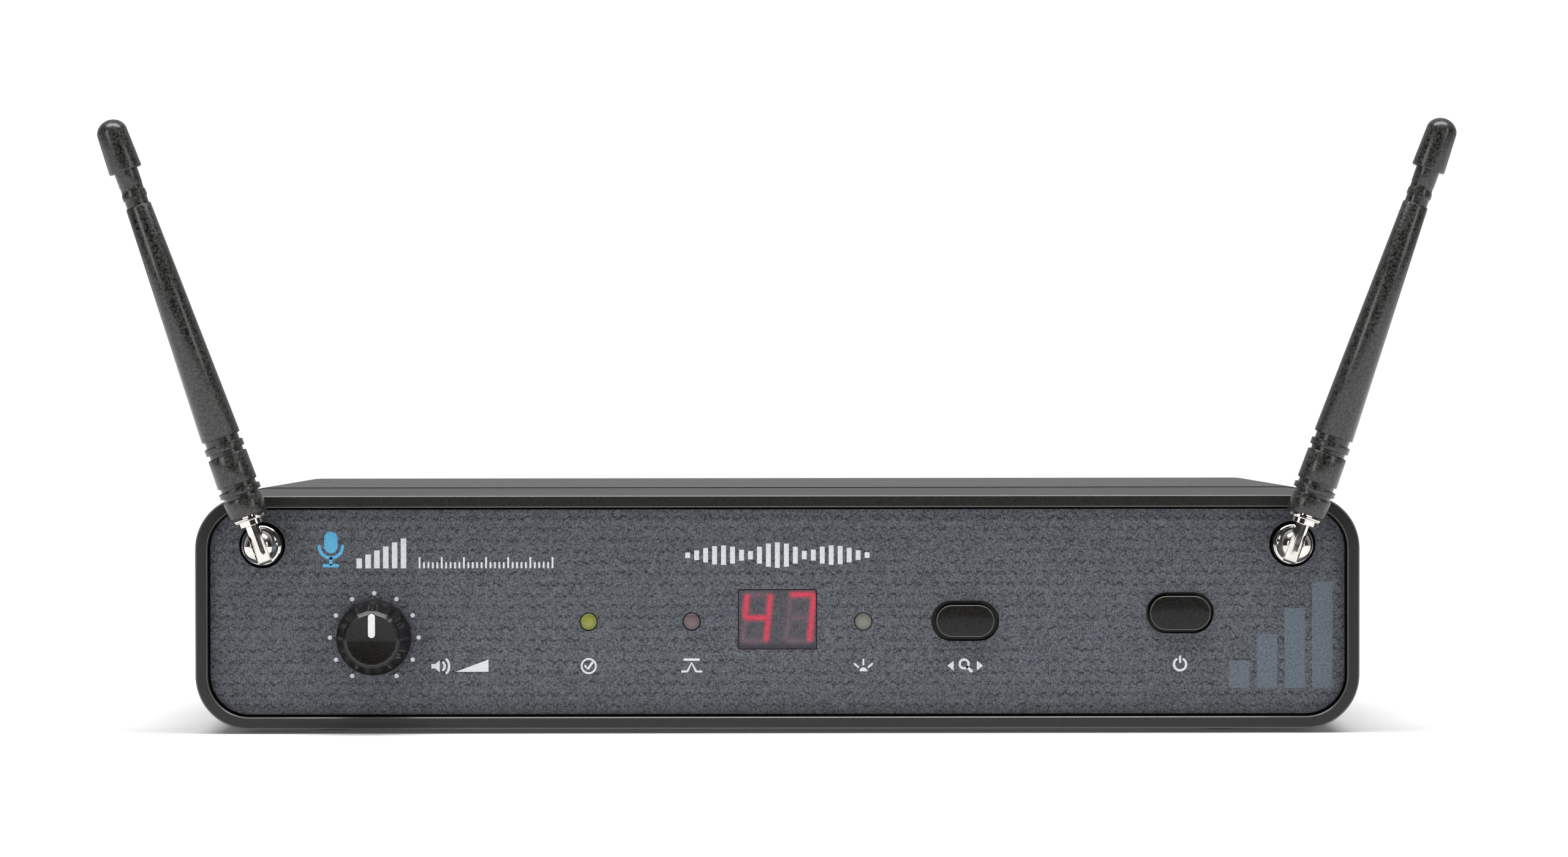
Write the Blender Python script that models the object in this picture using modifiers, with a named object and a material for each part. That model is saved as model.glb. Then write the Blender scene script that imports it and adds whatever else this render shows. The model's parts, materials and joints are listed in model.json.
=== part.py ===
"""Half-rack wireless microphone receiver.

A two-piece case holds a front panel with a volume knob, two buttons, lamps and a display, two
antennas that swivel and fold on nickel knuckles, and the boards and sockets behind them.

Metres, +Z up, front towards -Y. The origin is at the middle of the space that the whole object
takes, on the surface that its feet stand on.
"""

import math

import bmesh
import bpy
from mathutils import Vector

# Fits
GAP = 0.0003                   # room between pieces that rest on, or pass through, each other
ROUND_STEPS = 16               # facets of a small round piece
CORNER_STEPS = 6               # facets of a rounded corner
SCREW_STEPS = 8                # facets of a screw

# Case
CASE_WIDTH = 0.210
CASE_HEIGHT = 0.0422
CASE_DEPTH = 0.124
CORNER_RADIUS = 0.0097
WALL = 0.0022
FRONT_LENGTH = 0.058           # front housing, up to the seam
REAR_INSET = 0.0057            # how far each side draws in towards the back
EDGE = 0.0005                  # chamfer on the case's outer edges
BORE_EDGE = 0.0003             # chamfer round the mouth that frames the panel
SPIGOT_LENGTH = 0.010          # tongue of the rear housing inside the front one
SPIGOT_WALL = 0.0020
FOOT_HEIGHT = 0.0008           # how far the feet lift the case
FOOT_RADIUS = 0.006
FOOT_SEAT = 0.0007             # depth of the recess that a foot sits in
FOOT_INSET = 0.024             # from the case's side to a foot's centre
FOOT_FRONT = 0.018             # from the case's front to the front feet
FOOT_BACK = 0.016              # from the case's back to the rear feet

# Front panel and the board behind it
PANEL_RECESS = 0.0020          # panel face behind the rim
PANEL_THICKNESS = 0.0025
PANEL_GAP = 0.0004             # dark line round the panel
LEDGE_WIDTH = 0.0015           # rib inside the case between panel and board
BOARD_SPACE = 0.0058           # from the panel's back to the front board
BOARD_THICKNESS = 0.0016

# Panel layout: X from the middle or from the case's side, Z from the case's underside or top
ANTENNA_INSET = 0.0120
ANTENNA_DROP = 0.0090
ANTENNA_HOLE_RADIUS = 0.00415
KNOB_INSET = 0.0322
KNOB_HEIGHT = 0.0165
LAMP_RADIUS = 0.0015
LAMP_HEIGHT = 0.0193
READY_X = -0.0341
PEAK_X = -0.0155
IR_X = 0.0155
WINDOW_SIZE = (0.0142, 0.0108)
WINDOW_HEIGHT = 0.0197
WINDOW_GAP = 0.00015
WINDOW_THICKNESS = 0.0015
SCAN_X = 0.0339
SCAN_HEIGHT = 0.0194
SCAN_SIZE = (0.0105, 0.0058)
SCAN_HOLE = (0.0122, 0.00725)
SCAN_TRAVEL = 0.0008
SCAN_STEM_RADIUS = 0.0011
SCAN_SWITCH_WIDTH = 0.006
POWER_INSET = 0.0323
POWER_HEIGHT = 0.0208
POWER_SIZE = (0.0110, 0.0062)
POWER_HOLE = (0.0121, 0.0074)
POWER_TRAVEL = 0.0020
POWER_SWITCH_SIZE = (0.008, 0.012, 0.008)
BUTTON_REACH = 0.0013          # how far a button stands out of the panel
BUTTON_FLANGE = 0.0008         # rim behind the panel that keeps a button in
FLANGE_MARGIN = 0.0006         # how far that rim is wider than the hole

# Knob and its control
KNOB_RADIUS = 0.00675
KNOB_FACE_RADIUS = 0.00495
KNOB_REACH = 0.0095            # knob face in front of the panel
KNOB_CLEARANCE = 0.0005        # under the knob
KNOB_SKIRT = 0.0018            # straight stretch at the knob's foot
KNOB_FLUTES = 18
KNOB_FLUTE_DEPTH = 0.0004
POINTER_SIZE = (0.00127, 0.0043)
POINTER_DEPTH = 0.0004
POINTER_GAP = 0.00012
SHAFT_RADIUS = 0.0025
SHAFT_REACH = 0.0070           # shaft end in front of the panel
POT_RADIUS = 0.0060
POT_DEPTH = 0.0070
BUSHING_RADIUS = 0.0036
POT_NUT_FLATS = 0.0110

# Antennas: a knuckle that turns in a bush, and a whip that folds on a pin across the knuckle
ANTENNA_LEAN = math.radians(19.5)
PIVOT_REACH = 0.0043           # fold pin in front of the case's rim
KNUCKLE_RADIUS = 0.00315
KNUCKLE_COLLAR = 0.00365
COLLAR_THICKNESS = 0.0010
STEM_RADIUS = 0.0024
STEM_TAIL = 0.0012             # riveted end behind the bush
PIN_RADIUS = 0.0006
PIN_LENGTH = 0.0052
TONGUE_THICKNESS = 0.00194
TONGUE_WIDTH = 0.0032
TONGUE_TAIL = 0.0033           # tongue beyond the pin
BLOCK_START = 0.0040           # above the pin
BLOCK_RADIUS = 0.0023
DISC_START = 0.0050
DISC_RADIUS = 0.00313
WHIP_START = 0.0059
WHIP_LENGTH = 0.0810           # from the pin to the tip
STUD_RADIUS = 0.0014
STUD_LENGTH = 0.0060
BUSH_FLANGE_RADIUS = 0.0050
BUSH_RADIUS = 0.0038
BUSH_RECESS = 0.0006           # bush nose behind the panel's face
NUT_THICKNESS = 0.0022
ANTENNA_NUT_FLATS = 0.0095
LEAD_RADIUS = 0.0009

# Boards and what stands on them
BOSS_HEIGHT = 0.0050
BOSS_RADIUS = 0.0030
BOSS_INSET = 0.030             # from the case's side
MAIN_BOARD_START = 0.026       # from the case's front
MAIN_BOARD_MARGIN = 0.014      # from the case's side at the back
SHIELD_SIZE = (0.044, 0.026, 0.0055)
SCREW_RADIUS = 0.0014
SCREW_HEAD_RADIUS = 0.0027
SCREW_HEAD_HEIGHT = 0.0015
CASE_SCREW_HEAD = 0.0010       # flat heads, sunk into the case's floor
CASE_SCREW_LENGTH = 0.0048
RIBBON_WIDTH = 0.020
RIBBON_THICKNESS = 0.0008

# Rear sockets
XLR_X = -0.062
XLR_FLANGE = (0.026, 0.031)
XLR_FLANGE_THICKNESS = 0.0016
XLR_RADIUS = 0.0115
XLR_WELL_RADIUS = 0.0096
XLR_DEPTH = 0.0190
XLR_INSERT_THICKNESS = 0.0040
XLR_PIN_RADIUS = 0.0012
XLR_PIN_CIRCLE = 0.0050
XLR_PIN_LENGTH = 0.0110        # pin in front of the insert
XLR_SCREW_OFFSET = (0.0095, 0.0120)
XLR_SCREW_LENGTH = 0.0070
JACK_X = -0.022
JACK_BORE_RADIUS = 0.0033
JACK_BUSH_RADIUS = 0.0050
JACK_BODY = (0.0150, 0.0240, 0.0160)
JACK_REACH = 0.0040            # bushing end behind the case's back
JACK_NUT_FLATS = 0.0138
DC_X = 0.070
DC_BORE_RADIUS = 0.0031
DC_BUSH_RADIUS = 0.0043
DC_BODY = (0.0100, 0.0120, 0.0110)
DC_REACH = 0.0010
DC_PIN_RADIUS = 0.0010
DC_FLOOR = 0.0020              # wall that carries the centre pin

# Places that follow from the sizes above
WHIP_RING_RADIUS = 0.0037      # widest point of a whip
FRONT_REACH = PIVOT_REACH + WHIP_RING_RADIUS
FRONT_Y = (FRONT_REACH - CASE_DEPTH - JACK_REACH) / 2
BACK_Y = FRONT_Y + CASE_DEPTH
PANEL_Y = FRONT_Y + PANEL_RECESS
PANEL_BACK_Y = PANEL_Y + PANEL_THICKNESS
FRONT_BOARD_Y = PANEL_BACK_Y + BOARD_SPACE
FRONT_BOARD_BACK_Y = FRONT_BOARD_Y + BOARD_THICKNESS
CASE_BOTTOM = FOOT_HEIGHT
CASE_TOP = CASE_BOTTOM + CASE_HEIGHT
CASE_MIDDLE = CASE_BOTTOM + CASE_HEIGHT / 2
MAIN_BOARD_Z = CASE_BOTTOM + WALL + BOSS_HEIGHT + GAP
MAIN_BOARD_TOP = MAIN_BOARD_Z + BOARD_THICKNESS
MAIN_BOARD_FRONT_Y = FRONT_Y + MAIN_BOARD_START
MAIN_BOARD_BACK_Y = BACK_Y - WALL - JACK_BODY[1] - 0.002
MAIN_BOARD_WIDTH = CASE_WIDTH - 2 * REAR_INSET - 2 * MAIN_BOARD_MARGIN
BOSS_X = CASE_WIDTH / 2 - BOSS_INSET
FRONT_BOSS_Y = MAIN_BOARD_FRONT_Y + 0.006
REAR_BOSS_Y = MAIN_BOARD_BACK_Y - 0.006
ANTENNA_X = CASE_WIDTH / 2 - ANTENNA_INSET
ANTENNA_Z = CASE_TOP - ANTENNA_DROP
PIVOT_Y = FRONT_Y - PIVOT_REACH
KNOB_X = KNOB_INSET - CASE_WIDTH / 2
KNOB_Z = CASE_BOTTOM + KNOB_HEIGHT
POWER_X = CASE_WIDTH / 2 - POWER_INSET

FORWARD = (math.pi / 2, 0, 0)    # turns a shape's own +Z to the front
BACKWARD = (-math.pi / 2, 0, 0)  # turns a shape's own +Z to the back


# ---------------------------------------------------------------- scene, materials, helpers

def clear_scene():
    for old in list(bpy.data.objects):
        bpy.data.objects.remove(old, do_unlink=True)


def new_collection(name):
    collection = bpy.data.collections.new(name)
    bpy.context.scene.collection.children.link(collection)
    return collection


clear_scene()
PARTS = new_collection("wireless_receiver")
CUTTERS = new_collection("cutters")


def new_material(name, colour, roughness, metallic=0.0):
    made = bpy.data.materials.new(name)
    made.use_nodes = True
    shader = made.node_tree.nodes["Principled BSDF"]
    shader.inputs["Base Color"].default_value = (*colour, 1)
    shader.inputs["Roughness"].default_value = roughness
    shader.inputs["Metallic"].default_value = metallic
    return made


MATERIALS = {
    "case": new_material("case_black", (0.035, 0.035, 0.036), 0.5),
    "panel": new_material("panel_blue_grey", (0.09, 0.10, 0.115), 0.45),
    "black": new_material("black_plastic", (0.02, 0.02, 0.02), 0.4),
    "white": new_material("white_plastic", (0.85, 0.85, 0.85), 0.4),
    "rubber": new_material("foot_rubber", (0.02, 0.02, 0.02), 0.8),
    "nickel": new_material("nickel", (0.75, 0.72, 0.68), 0.2, 1.0),
    "steel": new_material("screw_steel", (0.1, 0.1, 0.1), 0.4, 1.0),
    "board": new_material("circuit_board", (0.02, 0.12, 0.05), 0.5),
    "window": new_material("display_red", (0.12, 0.02, 0.03), 0.15),
    "ready": new_material("ready_lamp", (0.30, 0.35, 0.04), 0.3),
    "peak": new_material("peak_lamp", (0.22, 0.13, 0.13), 0.3),
    "infrared": new_material("infrared_window", (0.25, 0.25, 0.20), 0.3),
    "lead": new_material("lead_jacket", (0.03, 0.03, 0.03), 0.6),
    "ribbon": new_material("ribbon_grey", (0.4, 0.4, 0.42), 0.6),
}


def add(obj, name, material, place=(0, 0, 0), turn=(0, 0, 0), parent=None):
    """Puts a finished object in the model under its node's name."""
    obj.name = name
    obj.location = place
    obj.rotation_euler = turn
    obj.parent = parent
    if material:
        obj.data.materials.append(MATERIALS[material])
        PARTS.objects.link(obj)
    return obj


def as_cutter(obj):
    """Moves a helper to the cutters, which aren't part of the object."""
    CUTTERS.objects.link(obj)
    obj.hide_render = True
    obj.display_type = "WIRE"
    return obj


def combine(target, operation, *helpers):
    for helper in helpers:
        modifier = target.modifiers.new(f"{operation.lower()}_{helper.name}", "BOOLEAN")
        modifier.operation = operation
        modifier.solver = "EXACT"
        modifier.object = as_cutter(helper)
    return target


def cut(target, *helpers):
    return combine(target, "DIFFERENCE", *helpers)


def join(target, *helpers):
    return combine(target, "UNION", *helpers)


def object_from(bm, name):
    mesh = bpy.data.meshes.new(name)
    bm.to_mesh(mesh)
    bm.free()
    return bpy.data.objects.new(name, mesh)


def box(name, size, material=None, place=(0, 0, 0)):
    """A block centred on its place."""
    bm = bmesh.new()
    bmesh.ops.create_cube(bm, size=1)
    bmesh.ops.scale(bm, verts=bm.verts, vec=size)
    return add(object_from(bm, name), name, material, place)


def rod(name, radius, length, material=None, place=(0, 0, 0), turn=(0, 0, 0), parent=None,
        steps=ROUND_STEPS):
    """A cylinder centred on its place, along its own Z."""
    bm = bmesh.new()
    bmesh.ops.create_cone(bm, cap_ends=True, segments=steps, radius1=radius, radius2=radius,
                          depth=length)
    made = add(object_from(bm, name), name, material, place, turn, parent)
    made.data.shade_smooth()
    made.data.set_sharp_from_angle(angle=math.radians(30))
    return made


def turned(name, profile, material=None, place=(0, 0, 0), turn=(0, 0, 0), parent=None,
           ring=False, steps=ROUND_STEPS):
    """A solid of revolution about its own Z. The profile is (radius, height) down its outside."""
    bm = bmesh.new()
    points = [bm.verts.new((radius, 0, height)) for radius, height in profile]
    for start, end in zip(points, points[1:]):
        bm.edges.new((start, end))
    if ring:
        bm.edges.new((points[-1], points[0]))
    made = add(object_from(bm, name), name, material, place, turn, parent)
    screw = made.modifiers.new("turn", "SCREW")
    screw.axis = "Z"
    screw.steps = steps
    screw.render_steps = steps
    screw.use_merge_vertices = True
    screw.merge_threshold = 0.00001
    screw.use_smooth_shade = False
    return made


def circle(radius, centre=(0, 0), steps=ROUND_STEPS):
    turns = [2 * math.pi * step / steps for step in range(steps)]
    return [(centre[0] + radius * math.cos(a), centre[1] + radius * math.sin(a)) for a in turns]


def hexagon(across_flats):
    return circle(across_flats / math.sqrt(3), steps=6)


def rounded(width, height, radius, centre=(0, 0), steps=CORNER_STEPS):
    """The outline of a rectangle with round corners, anticlockwise."""
    points = []
    for quarter, (sx, sy) in enumerate(((1, 1), (-1, 1), (-1, -1), (1, -1))):
        corner = (sx * (width / 2 - radius) + centre[0], sy * (height / 2 - radius) + centre[1])
        for step in range(steps + 1):
            angle = (quarter + step / steps) * math.pi / 2
            points.append((corner[0] + radius * math.cos(angle),
                           corner[1] + radius * math.sin(angle)))
    return points


def obround(width, height, centre=(0, 0)):
    return rounded(width, height, height / 2 - 1e-6, centre)


def plate(name, outline, thickness, material=None, place=(0, 0, 0), turn=FORWARD, holes=(),
          parent=None):
    """A flat piece: its outline and its holes, as thick as stated, centred on its place."""
    curve = bpy.data.curves.new(name, "CURVE")
    curve.dimensions = "2D"
    curve.fill_mode = "BOTH"
    curve.extrude = thickness / 2
    for loop in (outline, *holes):
        spline = curve.splines.new("POLY")
        spline.points.add(len(loop) - 1)
        for point, (x, y) in zip(spline.points, loop):
            point.co = (x, y, 0, 1)
        spline.use_cyclic_u = True
    return add(bpy.data.objects.new(name, curve), name, material, place, turn, parent)


def solid_plate(name, outline, thickness, material=None, place=(0, 0, 0), turn=FORWARD,
                holes=(), parent=None):
    """A plate as a welded mesh, which a Boolean can take."""
    curve = plate("outline", outline, thickness, holes=holes)
    PARTS.objects.link(curve)
    bpy.context.view_layer.update()
    evaluated = curve.evaluated_get(bpy.context.evaluated_depsgraph_get())
    mesh = bpy.data.meshes.new_from_object(evaluated)
    bpy.data.objects.remove(curve)
    bm = bmesh.new()
    bm.from_mesh(mesh)
    bmesh.ops.remove_doubles(bm, verts=bm.verts, dist=0.000001)
    bm.to_mesh(mesh)
    bm.free()
    return add(bpy.data.objects.new(name, mesh), name, material, place, turn, parent)


def loft(name, sections, material=None, place=(0, 0, 0), parent=None, ring=False):
    """A skin through outlines that lie across Y: (y, outline) each, all with as many points.

    With ring the last outline joins the first, as in a frame. Without it both ends are capped.
    """
    bm = bmesh.new()
    loops = [[bm.verts.new((x, y, z)) for x, z in outline] for y, outline in sections]
    pairs = list(zip(loops, loops[1:]))
    if ring:
        pairs.append((loops[-1], loops[0]))
    else:
        bm.faces.new(loops[0])
        bm.faces.new(loops[-1])
    for near, far in pairs:
        for index in range(len(near)):
            after = (index + 1) % len(near)
            bm.faces.new((near[index], near[after], far[after], far[index]))
    bmesh.ops.recalc_face_normals(bm, faces=bm.faces)
    made = add(object_from(bm, name), name, material, place, parent=parent)
    made.data.shade_smooth()
    made.data.set_sharp_from_angle(angle=math.radians(30))
    return made


def tube(name, points, radius, material):
    """A lead of one thickness along a smooth curve through its points."""
    path = smooth_path([Vector(point) for point in points], spacing=2.5 * radius)
    curve = bpy.data.curves.new(name, "CURVE")
    curve.dimensions = "3D"
    curve.bevel_depth = radius
    curve.bevel_resolution = 2
    curve.use_fill_caps = True
    spline = curve.splines.new("POLY")
    spline.points.add(len(path) - 1)
    for point, co in zip(spline.points, path):
        point.co = (*co, 1)
    return add(bpy.data.objects.new(name, curve), name, material)


def smooth_path(points, spacing):
    """Points along a Catmull-Rom curve, about as far apart as stated."""
    ends = [2 * points[0] - points[1], *points, 2 * points[-1] - points[-2]]
    path = [points[0]]
    for before, start, end, after in zip(ends, ends[1:], ends[2:], ends[3:]):
        steps = max(2, round((end - start).length / spacing))
        for step in range(1, steps + 1):
            t = step / steps
            path.append(0.5 * (2 * start + (end - before) * t
                               + (2 * before - 5 * start + 4 * end - after) * t ** 2
                               + (3 * start - before - 3 * end + after) * t ** 3))
    return path


def pan_screw(name, place, turn, length, top=SCREW_HEAD_HEIGHT):
    """A pan-head screw: its place is under the head, and its own +Z points out of the head."""
    profile = [(0, top), (SCREW_HEAD_RADIUS * 0.6, top), (SCREW_HEAD_RADIUS, top * 0.45),
               (SCREW_HEAD_RADIUS, 0), (SCREW_RADIUS, 0), (SCREW_RADIUS, -length * 0.85),
               (SCREW_RADIUS * 0.5, -length), (0, -length)]
    return turned(name, profile, "steel", place, turn, steps=SCREW_STEPS)


def hole_cutter(name, radius, low, high, place, turn=(0, 0, 0)):
    """A round cutter from low to high along its own Z."""
    centre = Vector((0, 0, (low + high) / 2))
    made = rod(name, radius, high - low, turn=turn)
    made.data.transform(made.matrix_world.Translation(centre))
    made.location = place
    return made


def empty(name, place, turn=(0, 0, 0)):
    made = bpy.data.objects.new(name, None)
    made.location = place
    made.rotation_euler = turn
    PARTS.objects.link(made)
    return made


# ---------------------------------------------------------------- case

def case_outline(y, inset):
    """The case's section at a depth from its front, drawn in by the inset on every side."""
    taper = max(0.0, (y - FRONT_LENGTH) / (CASE_DEPTH - FRONT_LENGTH)) * REAR_INSET
    return rounded(CASE_WIDTH - 2 * taper - 2 * inset, CASE_HEIGHT - 2 * inset,
                   CORNER_RADIUS - inset, (0, CASE_MIDDLE))


def case_skin(name, stations, ring=False):
    sections = [(FRONT_Y + y, case_outline(y, inset)) for y, inset in stations]
    return loft(name, sections, "case", ring=ring)


def foot_places():
    x = CASE_WIDTH / 2 - FOOT_INSET
    return {
        "front": [(-x, FRONT_Y + FOOT_FRONT), (x, FRONT_Y + FOOT_FRONT)],
        "rear": [(-x, BACK_Y - FOOT_BACK), (x, BACK_Y - FOOT_BACK)],
    }


def foot_seats(end):
    return [hole_cutter(f"{end}_foot_seat_{number}", FOOT_RADIUS + GAP, -0.002, FOOT_SEAT,
                        (x, y, CASE_BOTTOM))
            for number, (x, y) in enumerate(foot_places()[end])]


def board_bosses(end, y):
    """Posts on the case's floor for the main board, and the screw holes down them."""
    floor = CASE_BOTTOM + WALL
    posts, holes = [], []
    for number, x in enumerate((-BOSS_X, BOSS_X)):
        posts.append(hole_cutter(f"{end}_boss_{number}", BOSS_RADIUS, -WALL / 2, BOSS_HEIGHT,
                                 (x, y, floor)))
        holes.append(hole_cutter(f"{end}_boss_hole_{number}", SCREW_RADIUS + GAP, 0,
                                 BOSS_HEIGHT + 0.001, (x, y, floor)))
    return posts, holes


SPIGOT_START = FRONT_LENGTH - SPIGOT_LENGTH
CASE_SCREW_Y = FRONT_Y + FRONT_LENGTH - SPIGOT_LENGTH / 2
CASE_SCREW_X = CASE_WIDTH / 4
CASE_SCREW_SEAT = CASE_BOTTOM + CASE_SCREW_HEAD


def front_housing():
    ledge_start = PANEL_RECESS + PANEL_THICKNESS + GAP
    ledge_end = PANEL_RECESS + PANEL_THICKNESS + BOARD_SPACE - GAP
    stations = [
        (EDGE, 0), (FRONT_LENGTH - GAP / 2, 0), (FRONT_LENGTH - GAP / 2, WALL),
        (ledge_end, WALL), (ledge_end, WALL + LEDGE_WIDTH),
        (ledge_start, WALL + LEDGE_WIDTH), (ledge_start, WALL),
        (BORE_EDGE, WALL), (0, WALL - BORE_EDGE), (0, EDGE),
    ]
    housing = case_skin("front_housing", stations, ring=True)
    posts, holes = board_bosses("front", FRONT_BOSS_Y)
    join(housing, *posts)
    cut(housing, *holes, *foot_seats("front"))
    for number, x in enumerate((-CASE_SCREW_X, CASE_SCREW_X)):
        place = (x, CASE_SCREW_Y, CASE_BOTTOM)
        cut(housing,
            hole_cutter(f"case_screw_head_{number}", SCREW_HEAD_RADIUS + GAP, -0.001,
                        CASE_SCREW_HEAD + GAP, place),
            hole_cutter(f"case_screw_hole_{number}", SCREW_RADIUS + GAP, -0.001,
                        WALL + 0.001, place))


def rear_housing():
    spigot = WALL + GAP
    neck = FRONT_LENGTH + 0.002
    stations = [
        (CASE_DEPTH - WALL, WALL), (neck + 0.006, WALL), (neck, spigot + SPIGOT_WALL),
        (SPIGOT_START, spigot + SPIGOT_WALL), (SPIGOT_START, spigot),
        (FRONT_LENGTH + GAP / 2, spigot), (FRONT_LENGTH + GAP / 2, 0),
        (CASE_DEPTH - EDGE, 0), (CASE_DEPTH, EDGE),
    ]
    housing = case_skin("rear_housing", stations)
    posts, holes = board_bosses("rear", REAR_BOSS_Y)
    join(housing, *posts)
    cut(housing, *holes, *foot_seats("rear"))
    for number, x in enumerate((-CASE_SCREW_X, CASE_SCREW_X)):
        cut(housing, hole_cutter(f"spigot_hole_{number}", SCREW_RADIUS + GAP, -0.002, 0.008,
                                 (x, CASE_SCREW_Y, CASE_BOTTOM + WALL)))
    sockets = [
        ("xlr_wall_hole", XLR_RADIUS, XLR_X, 0),
        ("jack_wall_hole", JACK_BUSH_RADIUS, JACK_X, 0),
        ("dc_wall_hole", DC_BUSH_RADIUS, DC_X, 0),
    ]
    for number, (x, z) in enumerate(xlr_screw_places()):
        sockets.append((f"xlr_screw_hole_{number}", SCREW_RADIUS, x, z - CASE_MIDDLE))
    for name, radius, x, rise in sockets:
        cut(housing, hole_cutter(name, radius + GAP, -2 * WALL, 0.001,
                                 (x, BACK_Y, CASE_MIDDLE + rise), BACKWARD))


def feet():
    height = FOOT_HEIGHT + FOOT_SEAT - GAP
    edge = height / 3
    profile = [(0, height), (FOOT_RADIUS, height), (FOOT_RADIUS, edge), (FOOT_RADIUS - edge, 0),
               (0, 0)]
    for end, places in foot_places().items():
        for side, (x, y) in zip(("left", "right"), places):
            turned(f"foot_{end}_{side}", profile, "rubber", (x, y, 0))


def case_screws():
    for side, x in (("left", -CASE_SCREW_X), ("right", CASE_SCREW_X)):
        pan_screw(f"case_screw_{side}", (x, CASE_SCREW_Y, CASE_SCREW_SEAT), (math.pi, 0, 0),
                  CASE_SCREW_LENGTH, CASE_SCREW_HEAD)


# ---------------------------------------------------------------- front panel and its lamps

def face_panel():
    inset = WALL + PANEL_GAP
    outline = rounded(CASE_WIDTH - 2 * inset, CASE_HEIGHT - 2 * inset, CORNER_RADIUS - inset,
                      (0, CASE_MIDDLE))
    lamp_hole = LAMP_RADIUS + GAP / 2
    window = [size + 2 * WINDOW_GAP for size in WINDOW_SIZE]
    holes = [
        circle(ANTENNA_HOLE_RADIUS, (-ANTENNA_X, ANTENNA_Z)),
        circle(ANTENNA_HOLE_RADIUS, (ANTENNA_X, ANTENNA_Z)),
        circle(BUSHING_RADIUS + GAP, (KNOB_X, KNOB_Z)),
        *[circle(lamp_hole, (x, CASE_BOTTOM + LAMP_HEIGHT)) for x in (READY_X, PEAK_X, IR_X)],
        rounded(*window, 0.0003, (0, CASE_BOTTOM + WINDOW_HEIGHT), steps=1),
        obround(*SCAN_HOLE, (SCAN_X, CASE_BOTTOM + SCAN_HEIGHT)),
        obround(*POWER_HOLE, (POWER_X, CASE_BOTTOM + POWER_HEIGHT)),
    ]
    plate("face_panel", outline, PANEL_THICKNESS, "panel",
          (0, PANEL_Y + PANEL_THICKNESS / 2, 0), holes=holes)


def front_board():
    inset = WALL + 2 * GAP
    outline = rounded(CASE_WIDTH - 2 * inset, CASE_HEIGHT - 2 * inset, CORNER_RADIUS - inset,
                      (0, CASE_MIDDLE))
    holes = [
        circle(BUSH_RADIUS + GAP, (-ANTENNA_X, ANTENNA_Z)),
        circle(BUSH_RADIUS + GAP, (ANTENNA_X, ANTENNA_Z)),
        circle(BUSHING_RADIUS + GAP, (KNOB_X, KNOB_Z)),
        circle(STEM_RADIUS + GAP, (POWER_X, CASE_BOTTOM + POWER_HEIGHT)),
    ]
    plate("front_board", outline, BOARD_THICKNESS, "board",
          (0, FRONT_BOARD_Y + BOARD_THICKNESS / 2, 0), holes=holes)


def lamp(name, x, material, dome):
    """A round lamp or window from the board to the panel's face, with a rim behind the panel."""
    length = FRONT_BOARD_Y - GAP - PANEL_Y
    rim = length - PANEL_THICKNESS - GAP
    rim_radius = LAMP_RADIUS + 0.0004
    profile = [(0, length + dome), (LAMP_RADIUS * 0.7, length + dome * 0.6),
               (LAMP_RADIUS, length - 0.0001), (LAMP_RADIUS, rim), (rim_radius, rim),
               (rim_radius, 0), (0, 0)]
    turned(name, profile, material, (x, FRONT_BOARD_Y - GAP, CASE_BOTTOM + LAMP_HEIGHT),
           FORWARD)


def display():
    z = CASE_BOTTOM + WINDOW_HEIGHT
    front = PANEL_Y + 0.0001
    box("display_window", (WINDOW_SIZE[0], WINDOW_THICKNESS, WINDOW_SIZE[1]), "window",
        (0, front + WINDOW_THICKNESS / 2, z))
    module_front = front + WINDOW_THICKNESS + GAP
    depth = FRONT_BOARD_Y - GAP - module_front
    box("display_module", (WINDOW_SIZE[0] - 2 * GAP, depth, WINDOW_SIZE[1] - 2 * GAP), "black",
        (0, module_front + depth / 2, z))


# ---------------------------------------------------------------- knob, control and buttons

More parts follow.
